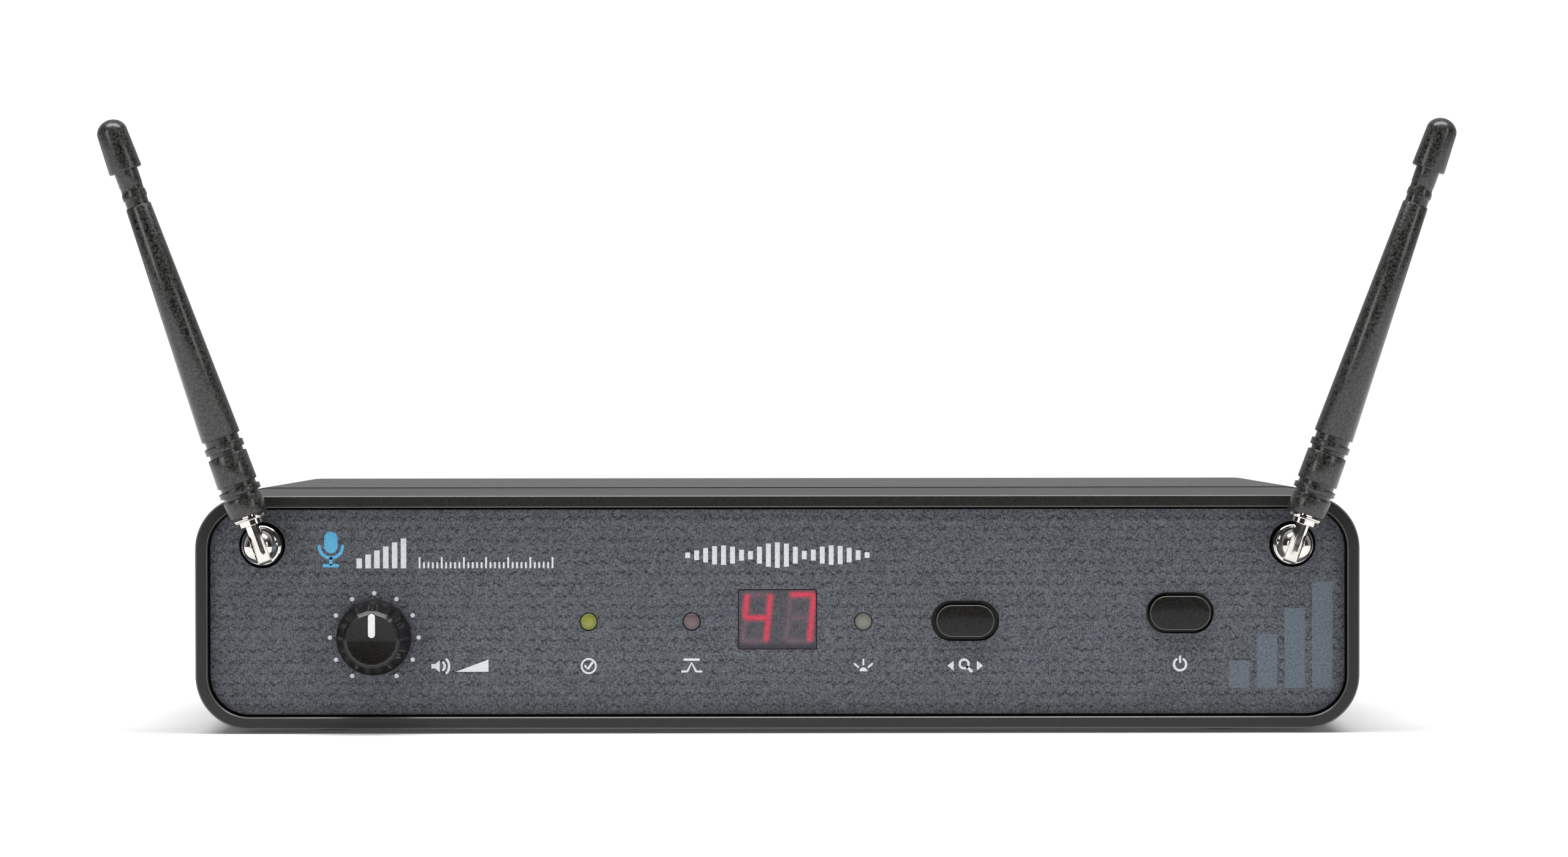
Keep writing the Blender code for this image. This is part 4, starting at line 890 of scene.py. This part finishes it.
def signs():
    """Generic signs in place of words: x, z, ink, and groups of outlines in mm round that spot."""
    thin, bold = PEN * 0.8, 0.6
    rays = [stroke([(math.sin(a) * far, math.cos(a) * far - 1.0) for far in (1.2, 2.1)], thin)
            for a in (math.radians(turn) for turn in (-50, 0, 50))]
    heads = [[[(side * 2.1, 0.9), (side * 3.2, 0.0), (side * 2.1, -0.9)]] for side in (-1, 1)]
    return {
        "volume": (-0.0612, LABEL_Z, WHITE, [  # a loudspeaker, two sound arcs and a wedge
            [[(-1.3, -0.4), (-0.6, -0.4), (0.2, -1.1), (0.2, 1.1), (-0.6, 0.4), (-1.3, 0.4)]],
            *[stroke(arc((0.1, 0), radius, -42, 42), PEN) for radius in (1.0, 1.8)],
            [[(3.1, -1.0), (9.0, -1.0), (9.0, 1.2)]]]),
        "ready": (centre_of("ready_lamp").x, LABEL_Z, WHITE, [  # a tick in a ring
            stroke([(-0.6, 0.0), (-0.15, -0.5), (0.65, 0.6)], PEN),
            stroke(ring_outline(1.28), thin, closed=True)]),
        "peak": (centre_of("peak_lamp").x, LABEL_Z, WHITE, [  # a peak under a limit line
            stroke([(-1.7, -1.0), (-0.8, -1.0), (0.0, 0.55), (0.8, -1.0), (1.7, -1.0)], PEN),
            stroke([(-1.3, 1.15), (1.3, 1.15)], PEN)]),
        "infrared": (centre_of("infrared_window").x, LABEL_Z, WHITE, [  # a lamp and its rays
            [arc((0, -1.0), 0.7, 0, 180)], *rays]),
        "scan": (centre_of("scan_button").x, LABEL_Z, WHITE, [  # a lens between arrow heads
            stroke(ring_outline(0.8, (-0.2, 0.3)), PEN, closed=True),
            stroke([(0.4, -0.3), (1.1, -1.0)], PEN * 1.3), *heads]),
        "power": (centre_of("power_button").x, LABEL_Z + 0.3 * MM, WHITE, [  # a ring and a bar
            stroke(arc((0, -0.1), 1.1, 125, 415, 32), PEN), stroke([(0, 0.3), (0, 1.3)], PEN)]),
        "microphone": (-0.0806, CASE_BOTTOM + 0.0324, CYAN, [  # capsule, cradle and stand
            [rounded(2.4, 3.9, 1.199, (0, 1.3))], stroke(arc((0, 0.6), 2.1, 180, 360, 24), bold),
            stroke([(0, -1.6), (0, -2.6)], bold), stroke([(-1.2, -2.9), (1.2, -2.9)], bold)]),
    }


def bar_row(name, material, slot, x, z, **shape):
    start = (x, PANEL_Y + PRINT_SINK, CASE_BOTTOM + z)
    bars = BAR_ROW.run(name, Start=start, Depth=PRINT_SINK + PRINT_HEIGHT, Material=material,
                       **shape)
    finish(bars, name, material, slot)


def panel_marks():
    for sign, (x, z, material, groups) in signs().items():
        name = "mark_" + sign
        marks = [plate(name, [[(px * MM + x, pz * MM + z) for px, pz in outline]
                              for outline in group], -PRINT_SINK, PRINT_HEIGHT,
                       at(0, PANEL_Y, 0)) for group in groups]
        finish(gather(name, marks), name, material, "white_plastic")
    bar_row("mark_wave", WHITE, "white_plastic", -0.0162, 0.0313, Count=21, Pitch=0.00162,
            Width=0.00088, Low=0.0010, High=0.0046, Waves=3.0, Wave=1.0, Centred=0.5)
    bar_row("mark_level", WHITE, "white_plastic", -0.0755, 0.0290, Count=6, Pitch=0.0016,
            Width=0.0010, Low=0.0018, High=0.0054, Slope=1.0)
    bar_row("mark_scale", WHITE, "white_plastic", -0.0646, 0.0290, Count=31, Pitch=0.0008,
            Width=0.00034, Low=0.0011, High=0.0020, Beat=1.0, Every=5)
    bar_row("mark_signal", TINT, "panel_print", 0.0834, 0.0072, Count=4, Pitch=0.0050,
            Width=0.0037, Low=0.0050, High=0.0192, Slope=1.0)
    dots = dial_tree().run("dial_dots", Count=11, Radius=0.0080, Step=math.radians(30),
                           Dot=0.0004, Depth=PRINT_HEIGHT + PRINT_SINK, Material=WHITE,
                           Centre=(KNOB.x, PANEL_Y - (PRINT_HEIGHT - PRINT_SINK) / 2, KNOB.z))
    finish(dots, "dial_dots", WHITE, "white_plastic")


# ---- lamps and display

def lamp(node, name, core, edge, rise, slot):
    _, high, middle = span(node)
    length = high.y - PANEL_Y
    rim = length - (PANEL_BACK_Y - PANEL_Y) - GAP
    wide = LAMP_RADIUS + 0.0004
    lens = turned(name, [*dome(LAMP_RADIUS, length - 0.0001, rise + 0.0001), (LAMP_RADIUS, rim),
                         (wide, rim), (wide, 0), (0, 0)], at(middle.x, high.y, middle.z), 40)
    finish(lens, name, lamp_lens(name, core, edge, middle), slot, node)


BARS = {  # ends of each bar, in halves of a digit's width and height
    "top": ((-1, 1), (1, 1)), "upper_left": ((-1, 1), (-1, 0)), "upper_right": ((1, 1), (1, 0)),
    "middle": ((-1, 0), (1, 0)), "lower_left": ((-1, 0), (-1, -1)),
    "lower_right": ((1, 0), (1, -1)), "bottom": ((-1, -1), (1, -1)),
}
SHOWN = (  # middle of each digit, and its lit bars
    (-0.00377, ("upper_left", "upper_right", "middle", "lower_right")),
    (0.00410, ("top", "upper_right", "lower_right")),
)


def digit_bars():
    """The centre lines of two slanted digits, as loose edges that say whether they are lit."""
    half_wide, half_high, lift = 0.0021, 0.00418, 0.00028
    slant, short = math.tan(math.radians(5.5)), 0.00036
    points, lit = [], []
    for middle, shown in SHOWN:
        for bar, ends in BARS.items():
            one, two = (Vector((x * half_wide, z * half_high)) for x, z in ends)
            along = (two - one).normalized() * short
            for end in (one + along, two - along):
                points.append((end.x + end.y * slant + middle, end.y + lift, 0))
            lit.append(bar in shown)
    mesh = bpy.data.meshes.new("bars")
    mesh.from_pydata(points, [(2 * n, 2 * n + 1) for n in range(len(lit))], [])
    mesh.attributes.new("lit", "BOOLEAN", "EDGE").data.foreach_set("value", lit)
    return new_object("bars", mesh)


def display():
    low, high, middle = span("display_window")
    width, height, depth = high.x - low.x, high.z - low.z, 0.00004
    front = low.y + depth
    window = loft("window", [
        (y, rounded(width - trim, height - trim, radius, (0, middle.z), 3))
        for y, trim, radius in ((front, 0.0001, 0.0002), (front + 0.0001, 0, 0.0003),
                                (high.y, 0, 0.0003))])
    finish(window, "display_filter", GLASS, "display_red", "display_window")
    sheet = digit_sheet_tree().run(
        "digits", digit_bars(), Width=width - 0.0003, Height=height - 0.0003, Columns=128,
        Rows=96, Core=0.00036, Blur=0.00060, Depth=depth + 0.00001,
        Centre=(middle.x, front + 0.00001, middle.z), Material=DIGITS)
    finish(sheet, "display_face", DIGITS, "display_red")


# ---- knob and buttons

def knob():
    """A fluted, tapered cap on a round skirt, with an inlaid pointer."""
    low, high, _ = span("volume_knob")
    outer = (high.x - low.x) / 2
    foot, face = PANEL_Y - high.y, PANEL_Y - low.y
    face_radius, dish = 0.00465, 0.00035
    dish_radius = face_radius - 0.0004
    bore, bore_end = 0.0028, 0.0073
    waist, shoulder = 0.00640, 0.00520      # side just above the skirt and just under the face
    start = face - 0.0006
    crown = [(dish_radius * step / 10, face - 0.00002 - dish * (1 - (step / 10) ** 2))
             for step in range(11)]
    side = [(shoulder + (waist - shoulder) * (step / 8) ** 1.25,
             start - (start - foot - 0.0023) * step / 8) for step in range(9)]
    cap = turned("knob", [
        *crown, (face_radius - 0.00015, face), (face_radius + 0.00015, face - 0.00028), *side,
        (outer - 0.0001, foot + 0.0019), (outer, foot + 0.0017), (outer, foot + 0.0002),
        (outer - 0.0002, foot), (bore, foot), (bore, bore_end), (0, bore_end)], steps=FLUTES * 12)
    flute_tree().run("knob", cap, Flutes=FLUTES, Depth=0.00042, Foot=foot + 0.0019,
                     Full=foot + 0.0030, Face=face, Inner=face_radius, Material=BLACK)
    cap.data.transform(at(KNOB.x, PANEL_Y, KNOB.z))
    pointer_low, pointer_high, middle = span("knob_pointer")
    size, room = pointer_high - pointer_low, 0.00012
    cut(cap, plate("pocket", [obround(size.x + 2 * room, size.z + 2 * room, middle.xz)],
                   -0.0004, 0.0010, at(0, low.y, 0)))
    finish(cap, "knob_cap", BLACK, "black_plastic", "volume_knob", body="volume_knob", angle=40)
    # a faint painted highlight on the knob's front chamfers
    mark_edge_highlight(cap, low.y, 0.0004, 0.18)
    bar = plate("pointer", [obround(size.x, size.z, middle.xz)], 0, size.y,
                at(0, pointer_high.y, 0), edge=0.0001)
    finish(bar, "knob_mark", POINTER, "white_plastic", "knob_pointer", body="volume_knob")


def push_button(node, size, hole, name, stem_radius):
    """A cap with a chamfered edge and a slightly domed face, its rim behind the panel, a stem."""
    low, high, middle = span(node)
    chamfer, rise = 0.00017, 0.00004
    start = PANEL_BACK_Y + GAP - low.y
    rim = obround(hole[0] + 2 * FLANGE_MARGIN, hole[1] + 2 * FLANGE_MARGIN, middle.xz)
    sections = [
        (low.y + depth, obround(size[0] - 2 * inset, size[1] - 2 * inset, middle.xz))
        for depth, inset in ((0, 0.0016), (rise * 0.5, 0.0008), (rise, chamfer + 0.0001),
                             (rise + 0.00001, chamfer), (rise + chamfer, 0.00001),
                             (rise + chamfer + 0.0001, 0), (start, 0))]
    cap = loft(node, [*sections, (low.y + start, rim), (low.y + start + BUTTON_FLANGE, rim)])
    join(cap, rod("stem", stem_radius, -(high.y - low.y), -(start + BUTTON_FLANGE / 2),
                  at(middle.x, low.y, middle.z), 24))
    finish(cap, name, BLACK, "black_plastic", node, body=node, angle=40)
    # painted highlight on the cap's front chamfer
    mark_edge_highlight(cap, low.y, 0.0004)


# ---- antennas

def whip_outline():
    """(radius, height above the pin) down a whip: cap, neck, long taper, two grooved sleeves."""
    upper = (                  # radius and distance below the tip, in mm
        (3.02, 9.3), (2.99, 9.5), (2.88, 9.6), (2.15, 9.6), (2.13, 12.4), (2.06, 12.5),
        (2.04, 13.4), (2.22, 13.8), (2.24, 14.8), (2.06, 15.0), (2.06, 16.2), (2.26, 16.3),
        (2.32, 16.4))
    lower = (                  # radius and height, in mm
        (3.60, 20.9), (3.53, 20.8), (3.12, 20.7), (3.12, 19.6), (3.56, 19.5), (3.60, 19.4),
        (3.60, 18.4), (3.56, 18.3), (3.12, 18.2), (3.12, 17.5), (3.54, 17.4), (3.60, 17.3),
        (3.70, 12.1), (3.64, 12.0), (3.28, 11.9), (3.28, 11.2), (3.78, 11.1), (3.82, 11.0),
        (3.82, 10.2), (3.78, 10.1), (3.28, 10.0), (3.28, 9.4), (3.58, 9.3), (3.63, 9.2),
        (3.56, 6.1), (3.50, 6.0), (3.25, 5.9))
    bore, bore_end = 0.0017, 0.0113
    return [*dome(0.00278, WHIP_LENGTH - 0.0025, 0.0025, 82, 9),
            *[(radius * MM, WHIP_LENGTH - down * MM) for radius, down in upper],
            *[(radius * MM, height * MM) for radius, height in lower],
            (bore, SLEEVE_END), (bore, bore_end), (0, bore_end)]


def fold_joint(side, place):
    """The hinge: a tongue on the fold pin, a block, a thin disc and a stud inside the whip."""
    thick, wide, tail = 0.00225, 0.0032, 0.0033
    start, radius, stud, stud_end = 0.0050, 0.00313, 0.0014, 0.0110
    block, block_foot = 0.0023, 0.0040
    outline = arc((0, wide / 2 - tail), wide / 2, 180, 360, 24)
    outline += [(wide / 2, start + 0.0002), (-wide / 2, start + 0.0002)]
    tongue = plate("tongue", [outline, ring_outline(0.0009, steps=32)], -thick / 2, thick / 2,
                   spin("Z", 90) @ spin("X", 90), edge=0.00005)
    sag = 0.00016              # how far its front and back fall away at their sides
    swell = [(thick * step / 16, wide / 2 - sag * (step / 8) ** 2) for step in range(8, -9, -1)]
    swell += [(-x, -y) for x, y in swell]
    crown = loft("crown", [(-0.007, swell), (0.007, swell)])
    crown.data.transform(FORWARD)
    combine(tongue, "INTERSECT", crown)
    cut(tongue, plate("channel", [rounded(0.0008, 0.0058, 0.00008, (0.0003, 0.0019), 2)],
                      wide / 2 - 0.0007, wide))
    under, step, bevel = SLEEVE_END - GAP, 0.00028, 0.0001
    join(tongue, turned("disc", [
        (0, stud_end), (stud, stud_end), (stud, under), (radius - bevel, under),
        (radius, under - 0.00008), (radius, start + step), (radius - bevel, start + step * 0.75),
        (radius - bevel, start + step * 0.6), (radius, start + step * 0.4),
        (radius - 0.00005, start), (block, start), (block, block_foot + 0.00012),
        (block - 0.00012, block_foot), (0, block_foot)]))
    tongue.data.transform(place)
    finish(tongue, f"fold_tongue_{side}", NICKEL, "nickel", f"antenna_hinge_{side}",
           body=f"{side}_antenna")


def knuckle(side, place):
    """The domed, slotted knuckle with its collar, its stem through the panel and its pin."""
    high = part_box(f"antenna_knuckle_{side}")[1]
    radius, wide, stem = 0.00315, 0.00358, 0.0024
    collar, collar_end, groove = 0.0038, 0.0048, 0.00012
    tail = high.y - PIVOTS[side].y
    tail_start = tail - 0.0012
    body = turned("knuckle", [
        *dome(radius, 0, radius, steps=12), (radius, -collar), (wide - groove, -collar),
        (wide, -collar - groove), (wide, -collar - 0.0004), (wide - groove, -collar - 0.0005),
        (wide, -collar - 0.0006), (wide, -collar_end), (stem, -collar_end), (stem, -tail_start),
        (stem + 2 * GAP, -tail_start), (stem + 2 * GAP, -tail), (0, -tail)], FORWARD, 64)
    slot_width, slot_floor = 0.00254, 0.0036
    cut(body, plate("slot", [rounded(slot_width, 0.02, 0.0001, steps=2)], -slot_floor, 0.006),
        rod("hole", 0.0009, -0.006, 0.006, spin("Y", 90), 32))
    bevel = body.modifiers.new("edges", "BEVEL")
    bevel.width, bevel.segments = 0.00007, 2
    bevel.limit_method, bevel.angle_limit = "ANGLE", math.radians(50)
    bevel.use_clamp_overlap, bevel.harden_normals = True, False
    bake(body)
    body.data.transform(place)
    finish(body, f"swivel_knuckle_{side}", NICKEL, "nickel", f"antenna_knuckle_{side}",
           body=f"{side}_knuckle", angle=40)
    half = 0.0026
    ends = [(0, half), (0.0004, half), (0.00055, half - 0.0001), (0.0006, half - 0.0003)]
    pin = turned("pin", ends + [(r, -z) for r, z in ends[::-1]], place @ spin("Y", 90), 24)
    finish(pin, f"fold_pin_{side}", NICKEL, "nickel", f"antenna_pin_{side}",
           body=f"{side}_knuckle")


def panel_bush(side):
    """The fixed bush that the knuckle turns in; its nose fills the hole in the panel."""
    low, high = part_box(f"antenna_bush_{side}")
    pivot = PIVOTS[side]
    bore, nose, flange = 0.0027, 0.0038, 0.0050
    front, end = pivot.y - low.y, pivot.y - high.y
    board = pivot.y - BOARD_Y + GAP
    bush = turned("bush", [
        (bore, front), (nose - 0.0001, front), (nose, front - 0.0001), (nose, board + 0.001),
        (flange, board + 0.001), (flange, board), (nose, board), (nose, end), (bore, end)],
        at(*pivot), ring=True)
    finish(bush, f"swivel_bush_{side}", BLACK, "black_plastic", f"antenna_bush_{side}")


def antenna(side):
    place = Matrix.Translation(PIVOTS[side]) @ spin("Y", LEANS[side])
    finish(turned("whip", whip_outline(), place), f"whip_{side}", WHIP, "antenna_black",
           f"antenna_whip_{side}", body=f"{side}_antenna", angle=40)
    fold_joint(side, place)
    knuckle(side, place)
    panel_bush(side)


# ---- rear sockets

def xlr():
    low, high, _ = span("xlr_shell")
    well, depth = 0.0096, 0.0190
    screws_at = [centre_of(f"xlr_screw_{number}").xz for number in (1, 2)]
    shell = plate("shell", [
        rounded(high.x - low.x, high.z - low.z, 0.003, (XLR_X, CASE_MIDDLE)),
        ring_outline(well, (XLR_X, CASE_MIDDLE), 64),
        *[ring_outline(SCREW_RADIUS + GAP, spot, 24) for spot in screws_at]],
        0, 0.0016, at(0, high.y, 0), edge=0.00015)
    join(shell, turned("barrel", [
        (well, 0.00005), (well + 0.00015, -0.0001), (XLR_BARREL, -0.0003), (XLR_BARREL, -depth),
        (well, -depth)], at(XLR_X, high.y, CASE_MIDDLE, BACKWARD), 64, ring=True))
    finish(shell, "xlr_housing", CASE, "case_black", "xlr_shell")
    radius = 0.0012
    for number in (1, 2, 3):
        node = f"xlr_pin_{number}"
        low, high, middle = span(node)
        pin = turned("pin", [
            *dome(radius, -radius * 0.9, radius * 0.9), (radius, low.y - high.y),
            (0, low.y - high.y)], at(middle.x, high.y, middle.z, BACKWARD), 24)
        finish(pin, f"contact_pin_{number}", NICKEL, "nickel", node)


def round_socket(node, x, bush, bore, bore_end):
    """A block inside the back wall with a threaded bush through it, bored from the outside."""
    low, high, _ = span(node)
    place = at(x, BACK_Y, CASE_MIDDLE, BACKWARD)
    outline = rounded(high.x - low.x, high.z - low.z, 0.0005, (x, CASE_MIDDLE), 3)
    block = loft("block", [(low.y, outline), (BACK_Y - WALL - GAP, outline)])
    reach, pitch, foot = high.y - BACK_Y, 0.0006, -WALL - 0.002
    top, thread = reach - 0.0004, []
    turns = int(max(0.0, top) / pitch)
    for step in range(turns):
        crest = top - step * pitch
        thread += [(bush, crest), (bush - 0.00018, crest - pitch / 2)]
    join(block, turned("bush", [
        (0, reach), (bush - 0.0003, reach), *thread, (bush, top - turns * pitch), (bush, foot),
        (0, foot)], place))
    wide = bore + 0.0003
    cut(block, turned("bore", [
        (0, reach + 0.001), (wide, reach + 0.001), (wide, reach), (bore, reach - 0.0003),
        (bore, bore_end), (0, bore_end)], place))
    return block


def sockets():
    xlr()
    jack = round_socket("jack_socket", JACK_X, JACK_BUSH, 0.0033, -0.0240)
    finish(jack, "jack_housing", BLACK, "black_plastic", "jack_socket")
    depth = BACK_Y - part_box("power_inlet")[0].y
    inlet = round_socket("power_inlet", INLET_X, INLET_BUSH, 0.0031, -(depth - 0.0020))
    cut(inlet, rod("hole", 0.0013, -depth - 0.001, 0,
                   at(INLET_X, BACK_Y, CASE_MIDDLE, BACKWARD), 24))
    finish(inlet, "inlet_housing", BLACK, "black_plastic", "power_inlet")
    low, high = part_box("jack_nut")
    hexagon = ring_outline(0.0138 / math.sqrt(3), steps=6)
    nut = plate("nut", [hexagon, ring_outline(0.0053)], 0, high.y - low.y,
                at(JACK_X, high.y, CASE_MIDDLE), edge=0.00015)
    finish(nut, "jack_hex_nut", NICKEL, "nickel", "jack_nut")


# ---- pieces kept from the frame

KEPT = {
    "xlr_insert": BLACK, "inlet_pin": NICKEL, "display_module": BLACK, "front_board": BOARD,
    "main_board": BOARD, "radio_shield": NICKEL, "front_ribbon": RIBBON, "volume_pot": NICKEL,
    "pot_nut": NICKEL, "pot_shaft": NICKEL, "scan_switch": BLACK, "power_switch": BLACK,
    "antenna_nut_left": NICKEL, "antenna_nut_right": NICKEL, "antenna_lead_left": LEAD,
    "antenna_lead_right": LEAD,
}


# ---- stage, light and camera

def softbox(name, place, size, power):
    lamp_data = bpy.data.lights.new(name, "AREA")
    lamp_data.shape = "RECTANGLE"
    lamp_data.size, lamp_data.size_y = size
    lamp_data.energy = power
    holder = new_object(name, lamp_data)
    holder.location = place
    aim = Vector((0, -0.05, 0.02)) - holder.location
    holder.rotation_euler = aim.to_track_quat("-Z", "Y").to_euler()


def stage():
    pale = Finish("pale_floor", Roughness=0.9, Base_Color=(0.88, 0.88, 0.88, 1),
                  Emission_Color=(1, 1, 1, 1), Emission_Strength=0.06)
    bm = bmesh.new()
    bm.faces.new([bm.verts.new(corner) for corner in (
        (-0.8, -0.75, 0), (0.8, -0.75, 0), (0.8, 0.35, 0), (-0.8, 0.35, 0))])
    floor = object_from(bm, "floor")
    floor.data.materials.append(pale.material)


def sky():
    """White to the eye. For the rest, bright overhead and behind, and dark in front."""
    overhead, behind, in_front = 0.5, 0.46, 0.03
    world = bpy.data.worlds.new("studio")
    bpy.context.scene.world = world
    world.use_nodes = True
    made = Nodes(world.node_tree)
    made.tree.nodes.clear()

    def background(strength):
        return made.add("ShaderNodeBackground", {"Color": (1, 1, 1, 1), "Strength": strength})

    _, y, z = made.split(made.add("ShaderNodeTexCoord", out="Generated"))
    level = made.math("MAXIMUM", made.spread(z, 0.55, 0.90, in_front, overhead),
                      made.spread(y, -0.1, 0.5, in_front, behind))
    eye = made.add("ShaderNodeLightPath", out="Is Camera Ray")
    made.add("ShaderNodeOutputWorld", {0: made.add("ShaderNodeMixShader", {
        0: eye, 1: background(level), 2: background(1.05)})})


def camera():
    """The eye 1.35 m in front, level with the case's upper edge and a little above it."""
    lens = bpy.data.cameras.new("eye")
    lens.lens, lens.sensor_width, lens.clip_start = 171.5, 36, 0.01
    holder = new_object("eye", lens)
    holder.location = (0, -1.406, 0.07955)
    turn = spin("Z", -0.052) @ spin("X", 90 - 1.045) @ spin("Z", -0.07)
    holder.rotation_euler = turn.to_euler()
    bpy.context.scene.camera = holder
    bpy.context.scene.view_settings.view_transform = "Standard"


camera()
stage()
sky()
softbox("overhead", (0, -0.25, 1.35), (1.9, 0.55), 26)
softbox("left_strip", (-0.95, -1.05, 0.42), (0.40, 0.60), 3.0)
softbox("right_strip", (1.00, -0.95, 0.42), (0.30, 0.60), 2.2)
front_case()
rear_case()
feet()
screws()
panel()
panel_marks()
lamp("ready_lamp", "ready_lens", srgb(144, 150, 70), srgb(108, 113, 49), 0.0003, "ready_yellow")
lamp("peak_lamp", "peak_lens", srgb(118, 101, 104), srgb(84, 74, 77), 0.0003, "peak_red")
lamp("infrared_window", "infrared_lens", srgb(128, 129, 122), srgb(96, 97, 92), 0.0001,
     "infrared_grey")
display()
knob()
for button, sizes in BUTTONS.items():
    push_button(button, *sizes)
for side in SIDES:
    antenna(side)
sockets()
for node, material in KEPT.items():
    NODES[node].data.materials.clear()
    NODES[node].data.materials.append(material)
